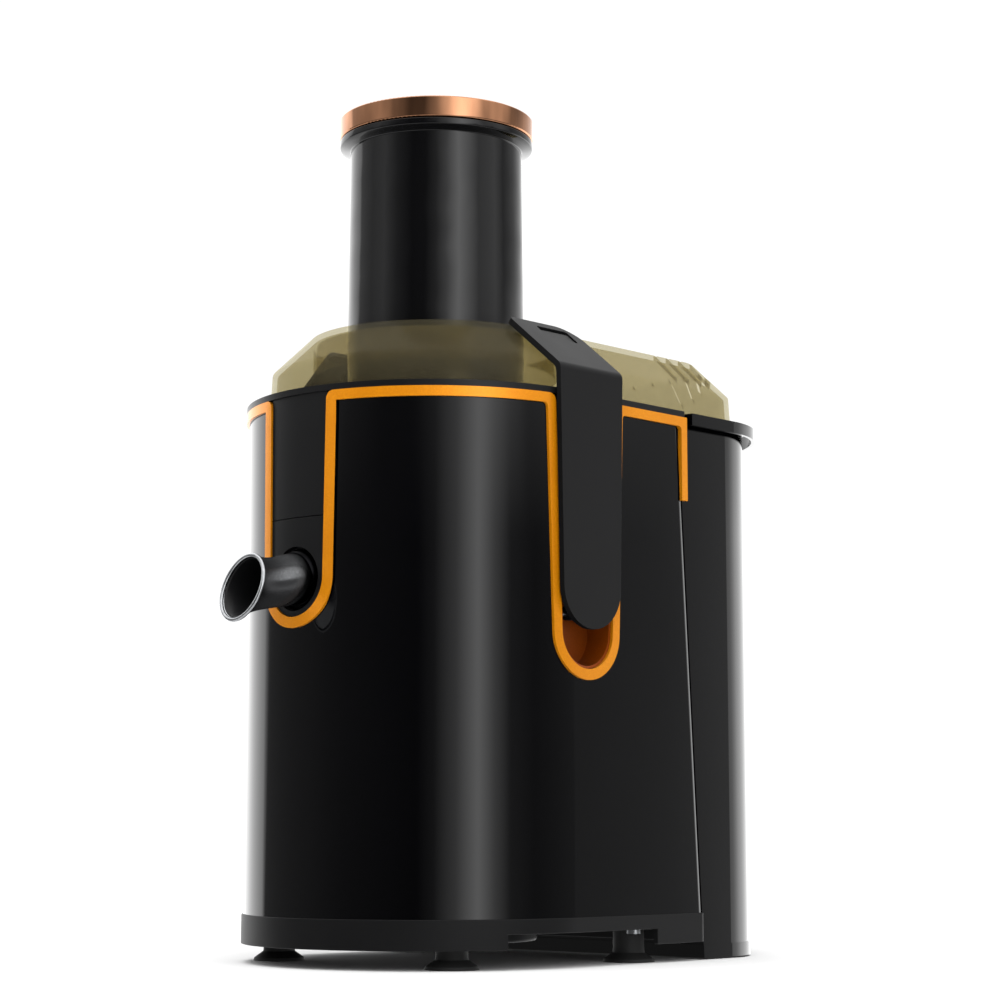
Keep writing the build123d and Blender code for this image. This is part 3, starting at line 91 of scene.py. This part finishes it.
# %% [markdown]
# ## One function for every node
# A material is a small circuit. `put` adds one node, sets its options, fills its inputs with plain
# values and joins the rest to outputs of earlier nodes. Patterns are sized in millimetres: a noise
# whose patches are w metres across has the scale 1 / w.

# %% Node helper


def put(tree, kind, inputs=None, stops=None, **settings):
    """Adds a node of that kind. inputs maps an input's name or number to a value or to an output, and
    stops are the (position, colour) pairs of a colour ramp."""
    node = tree.nodes.new(kind)
    for name, value in settings.items():
        setattr(node, name, value)
    for name, value in (inputs or {}).items():
        if isinstance(value, bpy.types.NodeSocket):
            tree.links.new(value, node.inputs[name])
        else:
            node.inputs[name].default_value = value
    if stops:
        elements = node.color_ramp.elements
        while len(elements) < len(stops):
            elements.new(0.5)
        for element, (position, tint) in zip(elements, stops):
            element.position = position
            element.color = tint
    return node


def new_material(name):
    """An empty material with its output, and the position of the surface in object space."""
    material = bpy.data.materials.new(name)
    material.use_nodes = True
    tree = material.node_tree
    tree.nodes.clear()
    output = put(tree, "ShaderNodeOutputMaterial")
    place = put(tree, "ShaderNodeTexCoord").outputs["Object"]
    return material, tree, output, place


print("node helpers ready")

# %% [markdown]
# ## Moulded plastics
# Nearly all of the outside is injection moulded. The mould decides the finish: a mirror polished
# mould gives the gloss black ABS of the housing, and a spark eroded one gives the fine satin grain
# of the clamps, the skirt and the bowl. So both share one recipe and differ in the grain's size, its
# height and the roughness. Gloss ABS also has a slow waviness, a few centimetres across, left as the
# wall shrinks, and it is what makes its reflections run slightly uneven.

# %% Plastics
SLOW_PATCH = 35.7 * MM
SHRINK_WAVE = 45.5 * MM
DARKER = 0.86


def moulded(name, base, rough, grain, height, wave=0.0, spread=0.04, shine=0.5):
    """A moulded plastic: grain in metres across, its height in metres, and a slow wave's height."""
    material, tree, output, place = new_material(name)
    fine = put(tree, "ShaderNodeTexNoise", {"Vector": place, "Scale": 1 / grain, "Detail": 2.0})
    slow = put(tree, "ShaderNodeTexNoise", {"Vector": place, "Scale": 1 / SLOW_PATCH, "Detail": 3.0})
    dark = (*[DARKER * c for c in colour(base)[:3]], 1.0)
    tint = put(tree, "ShaderNodeValToRGB", {"Fac": slow.outputs["Fac"]}, [(0.3, dark), (0.7, colour(base))])
    gloss = put(tree, "ShaderNodeMapRange",
                {"Value": slow.outputs["Fac"], "To Min": rough - spread, "To Max": rough + spread})
    bump = put(tree, "ShaderNodeBump", {"Height": fine.outputs["Fac"], "Distance": height, "Strength": 1.0})
    normal = bump.outputs["Normal"]
    if wave:
        wide = put(tree, "ShaderNodeTexNoise", {"Vector": place, "Scale": 1 / SHRINK_WAVE, "Detail": 0.0})
        normal = put(tree, "ShaderNodeBump", {"Height": wide.outputs["Fac"], "Distance": wave,
                                              "Strength": 1.0, "Normal": normal}).outputs["Normal"]
    shader = put(tree, "ShaderNodeBsdfPrincipled",
                 {"Base Color": tint.outputs["Color"], "Roughness": gloss.outputs["Result"], "IOR": 1.5,
                  "Specular IOR Level": shine, "Normal": normal})
    tree.links.new(shader.outputs[0], output.inputs["Surface"])
    return material


gloss_abs = moulded("gloss_black_ABS", "#020203", 0.06, 0.4 * MM, 0.0, wave=0.02 * MM, spread=0.02)
satin_pp = moulded("satin_black_polypropylene", "#0e0e0f", 0.5, 0.7 * MM, 0.012 * MM, shine=0.2)
panel_pp = moulded("fine_satin_black_ABS", "#0d0d0e", 0.34, 0.6 * MM, 0.006 * MM, shine=0.3)
grey_nylon = moulded("glass_filled_nylon", "#4e5052", 0.5, 0.9 * MM, 0.02 * MM)
phenolic = moulded("moulded_phenolic", "#16120f", 0.42, 0.8 * MM, 0.01 * MM)
rubber = moulded("black_nitrile_rubber", "#141414", 0.72, 1.1 * MM, 0.02 * MM, spread=0.06)
carbon = moulded("pressed_carbon", "#202020", 0.6, 0.5 * MM, 0.03 * MM)
white_print = moulded("white_ABS_inlay", "#d8d8d4", 0.4, 0.5 * MM, 0.002 * MM)
print("materials after the plastics:", len(bpy.data.materials))

# %% [markdown]
# ## Lacquered trim
# The orange trim is ABS sprayed with a metallic lacquer: aluminium flakes of about half a millimetre
# under a tinted satin coat. Voronoi cells of that size stand for the flakes, and each cell has its own
# brightness. Seen in a reflection the lacquer is nearly black, as if a dark card kept it out of the
# polished steel. Real lacquer doesn't do that: it is a choice for the picture.

# %% Lacquer
FLAKE = 0.55 * MM
CLOUD = 16.7 * MM


def lacquer(name, low, high, rough):
    """A metallic lacquer between two colours, flake by flake."""
    material, tree, output, place = new_material(name)
    flakes = put(tree, "ShaderNodeTexVoronoi", {"Vector": place, "Scale": 1 / FLAKE})
    cloud = put(tree, "ShaderNodeTexNoise", {"Vector": place, "Scale": 1 / CLOUD, "Detail": 3.0})
    grey = put(tree, "ShaderNodeRGBToBW", {"Color": flakes.outputs["Color"]})
    mixed = put(tree, "ShaderNodeMath", {0: grey.outputs[0], 1: cloud.outputs["Fac"]}, operation="MULTIPLY")
    flecked = put(tree, "ShaderNodeValToRGB", {"Fac": mixed.outputs[0]},
                  [(0.0, colour(low)), (0.6, colour(high))])
    mirrored = put(tree, "ShaderNodeLightPath").outputs["Is Glossy Ray"]
    tint = put(tree, "ShaderNodeMix", {0: mirrored, 6: flecked.outputs["Color"], 7: colour("#1c1410")},
               data_type="RGBA").outputs[2]
    gloss = put(tree, "ShaderNodeMapRange",
                {"Value": cloud.outputs["Fac"], "To Min": rough - 0.03, "To Max": rough + 0.03})
    shader = put(tree, "ShaderNodeBsdfPrincipled",
                 {"Base Color": tint, "Roughness": gloss.outputs["Result"], "Metallic": 0.5, "IOR": 1.5,
                  "Coat Weight": 0.25, "Coat Roughness": 0.12})
    tree.links.new(shader.outputs[0], output.inputs["Surface"])
    return material


orange = lacquer("metallic_orange_lacquer", "#db8304", "#ea9306", 0.3)
# Painted shade: a darker copy of the orange lacquer for the clamps' pockets, standing in for the shade that
# falls there.
orange_painted_shade = lacquer("metallic_orange_lacquer_painted_shade", "#8a3f04", "#a04805", 0.36)
print("materials after the lacquers:", len(bpy.data.materials))

# %% [markdown]
# ## Smoked lid
# The lid is clear polycarbonate with a smoke dye. Light that goes through a wall is tinted once at
# each of its two faces, so the tint below is the fourth root of what the front and back walls do to
# white together. A small share of a tinted gloss shader on top gives the haze and the reflections.

# %% Smoked polycarbonate
HAZE_PATCH = 28.6 * MM
HAZE_SHARE = 0.065
smoked, tree, output, place = new_material("smoked_polycarbonate")
haze = put(tree, "ShaderNodeTexNoise", {"Vector": place, "Scale": 1 / HAZE_PATCH, "Detail": 2.0})
smoke = put(tree, "ShaderNodeValToRGB", {"Fac": haze.outputs["Fac"]},
            [(0.3, colour("#938a6e")), (0.7, colour("#a1987c"))])
gloss = put(tree, "ShaderNodeMapRange", {"Value": haze.outputs["Fac"], "To Min": 0.03, "To Max": 0.08})
clear = put(tree, "ShaderNodeBsdfTransparent", {"Color": colour("#e4e0d0")})
wall = put(tree, "ShaderNodeBsdfPrincipled",
           {"Base Color": smoke.outputs["Color"], "Roughness": gloss.outputs["Result"], "IOR": 1.58})
shader = put(tree, "ShaderNodeMixShader", {0: HAZE_SHARE, 1: clear.outputs[0], 2: wall.outputs[0]})
tree.links.new(shader.outputs[0], output.inputs["Surface"])
print("the haze's share at each face:", HAZE_SHARE)

# %% [markdown]
# ## Metals
# Polished steel, plated copper and turned or ground steel differ in colour, in roughness and in the
# direction of their marks. The spout is spun and polished, so its marks run round the tube. The plated
# ring is buffed until no mark is left; brown bands a few centimetres across are painted into its colour,
# a painted reflection of the dark parts of the studio.

# %% Metals


def metal(name, base, rough, mark, height, stretch=(1.0, 1.0, 1.0), spread=0.04, shade=0.88):
    """A metal with marks mark metres wide, drawn out along the axes by stretch."""
    material, tree, output, place = new_material(name)
    mapped = put(tree, "ShaderNodeMapping", {"Vector": place, "Scale": stretch})
    marks = put(tree, "ShaderNodeTexNoise",
                {"Vector": mapped.outputs[0], "Scale": 1 / mark, "Detail": 3.0, "Roughness": 0.6})
    dark = (*[shade * c for c in colour(base)[:3]], 1.0)
    tint = put(tree, "ShaderNodeValToRGB", {"Fac": marks.outputs["Fac"]},
               [(0.35, dark), (0.65, colour(base))])
    gloss = put(tree, "ShaderNodeMapRange",
                {"Value": marks.outputs["Fac"], "To Min": rough - spread, "To Max": rough + spread})
    bump = put(tree, "ShaderNodeBump", {"Height": marks.outputs["Fac"], "Distance": height, "Strength": 1.0})
    shader = put(tree, "ShaderNodeBsdfPrincipled",
                 {"Base Color": tint.outputs["Color"], "Metallic": 1.0, "Normal": bump.outputs["Normal"],
                  "Roughness": gloss.outputs["Result"]})
    tree.links.new(shader.outputs[0], output.inputs["Surface"])
    return material


spun_steel = metal("spun_stainless_steel", "#cfd1d4", 0.2, 1.5 * MM, 0.002 * MM, (1, 6, 1), shade=0.7)
# Painted reflection: broad darker brown bands, stretched upright, stand in for the dark parts of the studio
# mirrored in the ring.
copper_plate = metal("rose_copper_plating", "#e3a47c", 0.07, 24.0 * MM, 0.0, (1, 1, 0.3),
                     spread=0.02, shade=0.42)
steel_brushed = metal("brushed_stainless_steel", "#b3b4b7", 0.32, 0.8 * MM, 0.01 * MM, (0.2, 0.2, 3))
zinc = metal("zinc_plated_steel", "#b5b8bb", 0.35, 0.7 * MM, 0.006 * MM)
laminated = metal("stacked_electrical_steel", "#74777b", 0.45, 0.5 * MM, 0.03 * MM, (0.05, 0.05, 1))
winding = metal("enamelled_copper_wire", "#a8521f", 0.28, 0.6 * MM, 0.04 * MM, (0.3, 0.3, 2))
aluminium = metal("die_cast_aluminium", "#a8aaad", 0.5, 1.0 * MM, 0.03 * MM)
print("materials after the metals:", len(bpy.data.materials))

# %% [markdown]
# ## Dull end of the spout
# The spout's ball sits deep in its socket, and the shade there is painted into the steel's colour: it
# falls off to near black over 6 mm along the tube, between 13 and 7 mm in front of the ball's centre.

# %% Painted shade on the ball
BALL_OUT = 89.0 * MM
tree = spun_steel.node_tree
shader = next(node for node in tree.nodes if node.type == "BSDF_PRINCIPLED")
steel_tint = shader.inputs["Base Color"].links[0].from_socket
place = put(tree, "ShaderNodeTexCoord").outputs["Object"]
depth = put(tree, "ShaderNodeSeparateXYZ", {0: place}).outputs["Y"]
ball_y = axis_y - BALL_OUT
# Painted shade: the steel turns near black towards the ball, where the socket's shade falls.
socket_shade = put(tree, "ShaderNodeMapRange",
           {"Value": depth, "From Min": ball_y - 13 * MM, "From Max": ball_y - 7 * MM}).outputs["Result"]
shaded = put(tree, "ShaderNodeMix", {0: socket_shade, 6: steel_tint, 7: colour("#1a1a1c")}, data_type="RGBA")
tree.links.new(shaded.outputs[2], shader.inputs["Base Color"])
print("ball at y =", round(ball_y, 5))

# %% [markdown]
# ## The control board
# A circuit board is green because of its solder mask, with copper tracks just showing under it. A
# brick pattern a few millimetres across gives the rows of pads and tracks.

# %% Circuit board
TRACK_CELL = 8.33 * MM
board_green, tree, output, place = new_material("green_solder_mask")
tracks = put(tree, "ShaderNodeTexBrick",
             {"Vector": place, "Scale": 1 / TRACK_CELL, "Color1": colour("#0d4a24"),
              "Color2": colour("#0a3a1c"), "Mortar": colour("#1f6b39"), "Mortar Size": 0.03})
shader = put(tree, "ShaderNodeBsdfPrincipled", {"Base Color": tracks.outputs["Color"], "Roughness": 0.35})
tree.links.new(shader.outputs[0], output.inputs["Surface"])
print("board tracks every", TRACK_CELL, "m")

# %% [markdown]
# ## Finishes on the parts
# The record names a finish for every part, and one table turns those names into materials. The bowl,
# the spout's panel and the pusher's cap are smoother than the clamps. The clamps' pockets get a darker
# copy of the orange lacquer, which is painted shade for the shade that falls in them.

# %% Finishes
finishes = {
    "gloss_black_abs": gloss_abs, "matte_black_pp": satin_pp, "orange_trim": orange,
    "smoked_clear": smoked, "polished_steel": spun_steel, "copper_ring": copper_plate,
    "brushed_steel": steel_brushed, "black_rubber": rubber,
    "zinc_steel": zinc, "lamination_steel": laminated, "enamelled_copper": winding,
    "cast_aluminium": aluminium, "grey_nylon": grey_nylon, "carbon": carbon,
    "circuit_board": board_green, "black_phenolic": phenolic,
}
own_finish = {"juice_bowl": panel_pp, "spout_panel": panel_pp, "pusher_cap": panel_pp,
              "clamp_pocket_left": orange_painted_shade, "clamp_pocket_right": orange_painted_shade}
for row in frame["record"]["subparts"]:
    part = nodes[row["node"]]
    part.data.materials.clear()
    part.data.materials.append(own_finish.get(row["node"], finishes[row["material_slot"]]))
    part.data.polygons.foreach_set("material_index", np.zeros(len(part.data.polygons), np.int32))

# %% [markdown]
# ## Soft outer edges
# A moulded edge is never sharp. The model's parts are loose triangles, so their corners are welded
# first, and a small bevel then rounds the edges that turn by more than 30 degrees. The bevel cuts
# corners off and adds nothing, so the part keeps its size.

# %% Edge rounding
SHARP = math.radians(30.0)
WELD = 0.002 * MM
FLATNESS = 80


def soften(node, width, segments=2):
    """Rounds a part's sharp edges by width metres, in that many facets."""
    part = nodes[node]
    part.modifiers.new("weld", "WELD").merge_threshold = WELD
    bevel = part.modifiers.new("edge", "BEVEL")
    bevel.width = width
    bevel.segments = segments
    bevel.limit_method = "ANGLE"
    bevel.angle_limit = SHARP
    bevel.use_clamp_overlap = True
    part.data.polygons.foreach_set("use_smooth", np.ones(len(part.data.polygons), bool))
    part.modifiers.new("flat faces stay flat", "WEIGHTED_NORMAL").weight = FLATNESS


soften("trim_band", 0.8 * MM)
soften("pusher_ring", 1.8 * MM, segments=4)
for node in ("feed_chute", "clamp_right", "clamp_left", "base_tray", "lid", "speed_knob"):
    soften(node, 0.5 * MM)
soften("lid_catches", 0.3 * MM)
print("parts with rounded edges:", sum(1 for part in nodes.values() if part.modifiers))

# %% [markdown]
# ## Grid surfaces
# A piece that is a curved sheet is a grid: rows of points along u, columns around v. The faces join
# neighbours, and the last column is joined to the first.

# %% Mesh helper


def surface(name, points, material):
    """Makes a closed tube of faces from an array of shape (rows, columns, 3)."""
    rows, columns = points.shape[:2]
    index = np.arange(rows * columns).reshape(rows, columns)
    index = np.hstack([index, index[:, :1]])
    quads = np.stack([index[:-1, :-1], index[:-1, 1:], index[1:, 1:], index[1:, :-1]], -1).reshape(-1, 4)
    mesh = bpy.data.meshes.new(name)
    mesh.from_pydata(points.reshape(-1, 3), [], quads)
    mesh.polygons.foreach_set("use_smooth", np.ones(len(quads), bool))
    mesh.update()
    piece = bpy.data.objects.new(name, mesh)
    bpy.context.scene.collection.objects.link(piece)
    mesh.materials.append(material)
    return piece


print("grid helper ready")

# %% [markdown]
# ## Black sleeve inside the spout
# The steel spout carries a black plastic sleeve, so the juice touches no weld. The sleeve follows the
# tube: round where it leaves the ball, oval at the mouth. Four sections fix it, and a cubic through
# them gives every ring between, which is what a loft does.

# %% Spout sleeve
SLEEVE_GAP = 0.35 * MM
SLEEVE_WALL = 0.25 * MM
SLEEVE_RINGS = 40
BORE = 11.3 * MM - SLEEVE_GAP
MOUTH_HALF = (12.9 * MM, 15.35 * MM)
DROP = math.radians(12.0)
LEAN = math.radians(17.5)
pivot = np.array([0.0, axis_y - BALL_OUT, 183.1 * MM])
mouth = np.array([0.0, axis_y - 126.3 * MM, 175.6 * MM])


def section(centre, tilt, half_across, half_up, angles):
    """An oval ring: half_across along X, half_up along a line leaning back by tilt from upright."""
    across = np.cos(angles)[:, None] * np.array([1.0, 0.0, 0.0]) * half_across
    up = np.sin(angles)[:, None] * np.array([0.0, math.sin(tilt), math.cos(tilt)]) * half_up
    return centre + across + up


def through(rings, knots, where):
    """Newton's cubic through four rings at the given knots, taken at the places asked for."""
    total = np.zeros((len(where), *rings[0].shape))
    for number, ring in enumerate(rings):
        others = [knot for other, knot in enumerate(knots) if other != number]
        weight = np.prod([(where - knot) / (knots[number] - knot) for knot in others], axis=0)
        total += weight[:, None, None] * ring
    return total


along = np.array([0.0, -math.cos(DROP), -math.sin(DROP)])
angles = np.linspace(0, 2 * math.pi, 64, endpoint=False)
rings = [
    section(pivot + along * 3 * MM, -DROP, BORE, BORE, angles),
    section(pivot + along * 9 * MM, -DROP, BORE, BORE, angles),
    section(mouth + np.array([0, 7 * MM, 1.5 * MM]), LEAN, BORE + 0.3 * MM, BORE + 1.9 * MM, angles),
    section(mouth + np.array([0, 0.6 * MM, 0]), LEAN,
            MOUTH_HALF[0] - SLEEVE_GAP, MOUTH_HALF[1] - SLEEVE_GAP, angles)]
knots = [0, 6, 30, 37]
places = np.linspace(knots[0], knots[-1], SLEEVE_RINGS)
sleeve = surface("spout_sleeve", through(rings, knots, places), panel_pp)
sleeve.modifiers.new("wall", "SOLIDIFY").thickness = SLEEVE_WALL
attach(sleeve, "pouring_spout")
print("sleeve rings:", SLEEVE_RINGS)

# %% [markdown]
# ## Marks on the speed dial
# A dial needs marks that can be felt as well as seen. Each is a small raised pill, moulded in white.
# Its shape is a superellipsoid: the cosine and sine of the two angles are raised to a power below
# one, which squares up a ball into a rounded bar.

# %% Dial marks
SQUARENESS = 0.5


def pill(name, centre, long_axis, wide_axis, size, material):
    """A rounded bar: size is its length, width and height; long_axis and wide_axis are unit vectors."""

    def bent(values):
        return np.sign(values) * np.abs(values) ** SQUARENESS

    tilt = np.linspace(-math.pi / 2, math.pi / 2, 9)[:, None]
    turn = np.linspace(0, 2 * math.pi, 20, endpoint=False)[None, :]
    out = np.cross(long_axis, wide_axis)
    lengths = bent(np.cos(tilt)) * bent(np.cos(turn)) * size[0] / 2
    widths = bent(np.cos(tilt)) * bent(np.sin(turn)) * size[1] / 2
    heights = np.sin(tilt) * np.ones_like(turn) * size[2] / 2
    points = (np.array(centre) + lengths[..., None] * np.array(long_axis)
              + widths[..., None] * np.array(wide_axis) + heights[..., None] * out)
    piece = surface(name, points, material)
    close_poles(piece.data)
    return piece


def close_poles(mesh):
    """Merges the points that meet at each pole and turns every face outwards."""
    shape = bmesh.new()
    shape.from_mesh(mesh)
    bmesh.ops.remove_doubles(shape, verts=shape.verts, dist=1e-6)
    bmesh.ops.recalc_face_normals(shape, faces=shape.faces)
    shape.to_mesh(mesh)
    shape.free()


knob = middle("speed_knob")
knob_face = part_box("speed_knob")[0].x
side_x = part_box("motor_housing")[0].x
MARKS = 5
MARK_STEP = math.radians(30.0)
MARK_OUT = 25.5 * MM
MARK_SIZE = (3.6 * MM, 1.1 * MM, 0.5 * MM)
POINTER_OUT = 9.0 * MM
POINTER_SIZE = (8 * MM, 1.2 * MM, 0.3 * MM)
for number in range(MARKS):
    angle = number * MARK_STEP
    radial = np.array([0.0, math.sin(angle), math.cos(angle)])
    level = np.array([0.0, math.cos(angle), -math.sin(angle)])
    spot = np.array([side_x, knob.y, knob.z]) + radial * MARK_OUT
    mark = pill(f"dial_mark_{number}", spot, radial, level, MARK_SIZE, white_print)
    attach(mark, "base")
up = np.array([0.0, 0.0, 1.0])
along_y = np.array([0.0, 1.0, 0.0])
spot = (knob_face, knob.y, knob.z + POINTER_OUT)
pointer = pill("knob_pointer", spot, up, along_y, POINTER_SIZE, white_print)
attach(pointer, "speed_control")
print("dial marks:", MARKS)

# %% [markdown]
# ## Studio
# The floor and the background are white, and the light is soft. Gloss black plastic shows nothing but
# reflections, so the studio around it is what gives it its shape: a white wall behind, which draws
# the thin bright rims, a narrow soft light beside the camera, which draws the upright streak down
# the middle, and a wider one far to the right, which lifts the flat side. They are bands of one sky,
# a function of the direction's compass angle. The overhead softbox gives the matt parts their shade.

# %% Sky
CAMERA_TURN = math.radians(-45.0)
LOW_BANDS = [
    (-180, 2.3), (-150, 2.4), (-130, 1.7), (-125, 1.5), (-121, 0.18), (-80, 0.14), (-55, 0.08),
    (-10, 0.03),
    (0, 0.14), (13, 0.75), (26, 2.3), (36, 0.9), (46, 0.2), (62, 0.1), (92, 0.17), (96, 0.28),
    (100, 1.0), (120, 2.3), (180, 2.3)]
HIGH_BANDS = [
    (-180, 2.2), (-140, 1.6), (-121, 1.2), (-117, 0.5), (-93, 0.4), (-72, 0.62), (-53, 0.26), (-32, 0.08),
    (-14, 0.1), (0, 0.35), (13, 1.0), (30, 2.6), (44, 1.6), (58, 0.7), (84, 0.85), (100, 0.3),
    (125, 0.5), (150, 1.0), (180, 2.2)]

SKY_TOP = 2.6
CEILING = (0.55, 0.55, 0.55, 1)
GROUND = (0.3, 0.3, 0.3, 1)

world = bpy.data.worlds.new("studio")
bpy.context.scene.world = world
world.use_nodes = True
sky = world.node_tree
sky.nodes.clear()
direction = put(sky, "ShaderNodeTexCoord").outputs["Generated"]
turned = put(sky, "ShaderNodeMapping", {"Vector": direction, "Rotation": (0, 0, -CAMERA_TURN)},
             vector_type="POINT")
parts_of = put(sky, "ShaderNodeSeparateXYZ", {0: turned.outputs[0]}).outputs
compass = put(sky, "ShaderNodeMath", {0: parts_of["Y"], 1: parts_of["X"]}, operation="ARCTAN2")
turn = put(sky, "ShaderNodeMapRange",
           {"Value": compass.outputs[0], "From Min": -math.pi, "From Max": math.pi})


def stops_of(levels):
    """The stops of a ramp round the compass, from (degrees, level) pairs."""
    return [((angle + 180) / 360, (*[level / SKY_TOP] * 3, 1.0)) for angle, level in levels]


low = put(sky, "ShaderNodeValToRGB", {"Fac": turn.outputs[0]}, stops_of(LOW_BANDS)).outputs["Color"]
high = put(sky, "ShaderNodeValToRGB", {"Fac": turn.outputs[0]}, stops_of(HIGH_BANDS)).outputs["Color"]
bands = low
for start, end, above in ((0.12, 0.24, high), (0.45, 0.8, CEILING), (-0.2, -0.5, GROUND)):
    climb = put(sky, "ShaderNodeMapRange", {"Value": parts_of["Z"], "From Min": start, "From Max": end})
    bands = put(sky, "ShaderNodeMix", {0: climb.outputs[0], 6: bands, 7: above}, data_type="RGBA").outputs[2]
seen = put(sky, "ShaderNodeLightPath")
backdrop = put(sky, "ShaderNodeBackground", {"Color": (1, 1, 1, 1), "Strength": 1.05})
studio = put(sky, "ShaderNodeBackground", {"Color": bands, "Strength": SKY_TOP})
chosen = put(sky, "ShaderNodeMixShader",
             {0: seen.outputs["Is Camera Ray"], 1: studio.outputs[0], 2: backdrop.outputs[0]})
put(sky, "ShaderNodeOutputWorld", {"Surface": chosen.outputs[0]})
print("sky bands:", len(LOW_BANDS), "low,", len(HIGH_BANDS), "high")

# %% [markdown]
# The floor is plain and pale, and takes the soft shadow under the feet. It glows a little from 250 mm
# out, so that its far edge meets the white background. A large softbox overhead and a smaller one in
# front light the matt surfaces; they aren't drawn in the gloss, which the sky above already shapes.

# %% Floor and softboxes
FLOOR = 6.0
PAPER_CLOUD = 333 * MM
mesh = bpy.data.meshes.new("floor")
corners = [(-FLOOR, -FLOOR, 0), (FLOOR, -FLOOR, 0), (FLOOR, FLOOR, 0), (-FLOOR, FLOOR, 0)]
mesh.from_pydata(corners, [], [(0, 1, 2, 3)])
floor = bpy.data.objects.new("floor", mesh)
bpy.context.scene.collection.objects.link(floor)
material, tree, output, place = new_material("white_paper")
paper = put(tree, "ShaderNodeTexNoise", {"Vector": place, "Scale": 1 / PAPER_CLOUD})
away = put(tree, "ShaderNodeVectorMath", {0: place}, operation="LENGTH")
glow = put(tree, "ShaderNodeMapRange",
           {"Value": away.outputs["Value"], "From Min": 0.25, "From Max": 0.9, "To Min": 0.0, "To Max": 1.2})
white = put(tree, "ShaderNodeValToRGB", {"Fac": paper.outputs["Fac"]},
            [(0.0, (0.7, 0.7, 0.7, 1)), (1.0, (0.72, 0.72, 0.72, 1))])
shader = put(tree, "ShaderNodeBsdfPrincipled",
             {"Base Color": white.outputs["Color"], "Roughness": 0.9, "Specular IOR Level": 0.0,
              "Emission Color": (1, 1, 1, 1), "Emission Strength": glow.outputs[0]})
tree.links.new(shader.outputs[0], output.inputs["Surface"])
mesh.materials.append(material)
floor.visible_glossy = False


def softbox(name, place, aim, size, watts):
    """A square area light at place that looks at aim, size metres across."""
    lamp = bpy.data.lights.new(name, "AREA")
    lamp.size = size
    lamp.energy = watts
    holder = bpy.data.objects.new(name, lamp)
    turn_to = (Vector(aim) - Vector(place)).to_track_quat("-Z", "Y")
    holder.matrix_world = Matrix.Translation(place) @ turn_to.to_matrix().to_4x4()
    holder.visible_glossy = False
    holder.visible_camera = False
    bpy.context.scene.collection.objects.link(holder)


softbox("overhead", (0.1, -0.2, 1.9), (0, 0, 0.1), 1.8, 34.0)
softbox("front_fill", (1.2, -1.5, 0.9), (0, 0, 0.2), 1.2, 12.0)
print("lights:", len(bpy.data.lights))

# %% [markdown]
# ## Camera
# The view is low, a little above the table, from the front right corner, with a long lens. The lens
# and its 36 mm sensor stand 1.21 m from the bowl's axis.

# %% Camera
CAMERA_OUT = 0.8556
CAMERA_UP = 64.6 * MM
lens = bpy.data.cameras.new("camera")
lens.lens = 86.98
lens.sensor_width = 36.0
camera = bpy.data.objects.new("camera", lens)
spot = Vector((CAMERA_OUT, axis_y - CAMERA_OUT, CAMERA_UP))
look = Vector((-0.6814, 0.7194, 0.1347))
camera.matrix_world = Matrix.Translation(spot) @ look.to_track_quat("-Z", "Y").to_matrix().to_4x4()
bpy.context.scene.collection.objects.link(camera)
bpy.context.scene.camera = camera
bpy.context.scene.view_settings.view_transform = "Standard"
print("camera at", [round(value, 4) for value in spot])
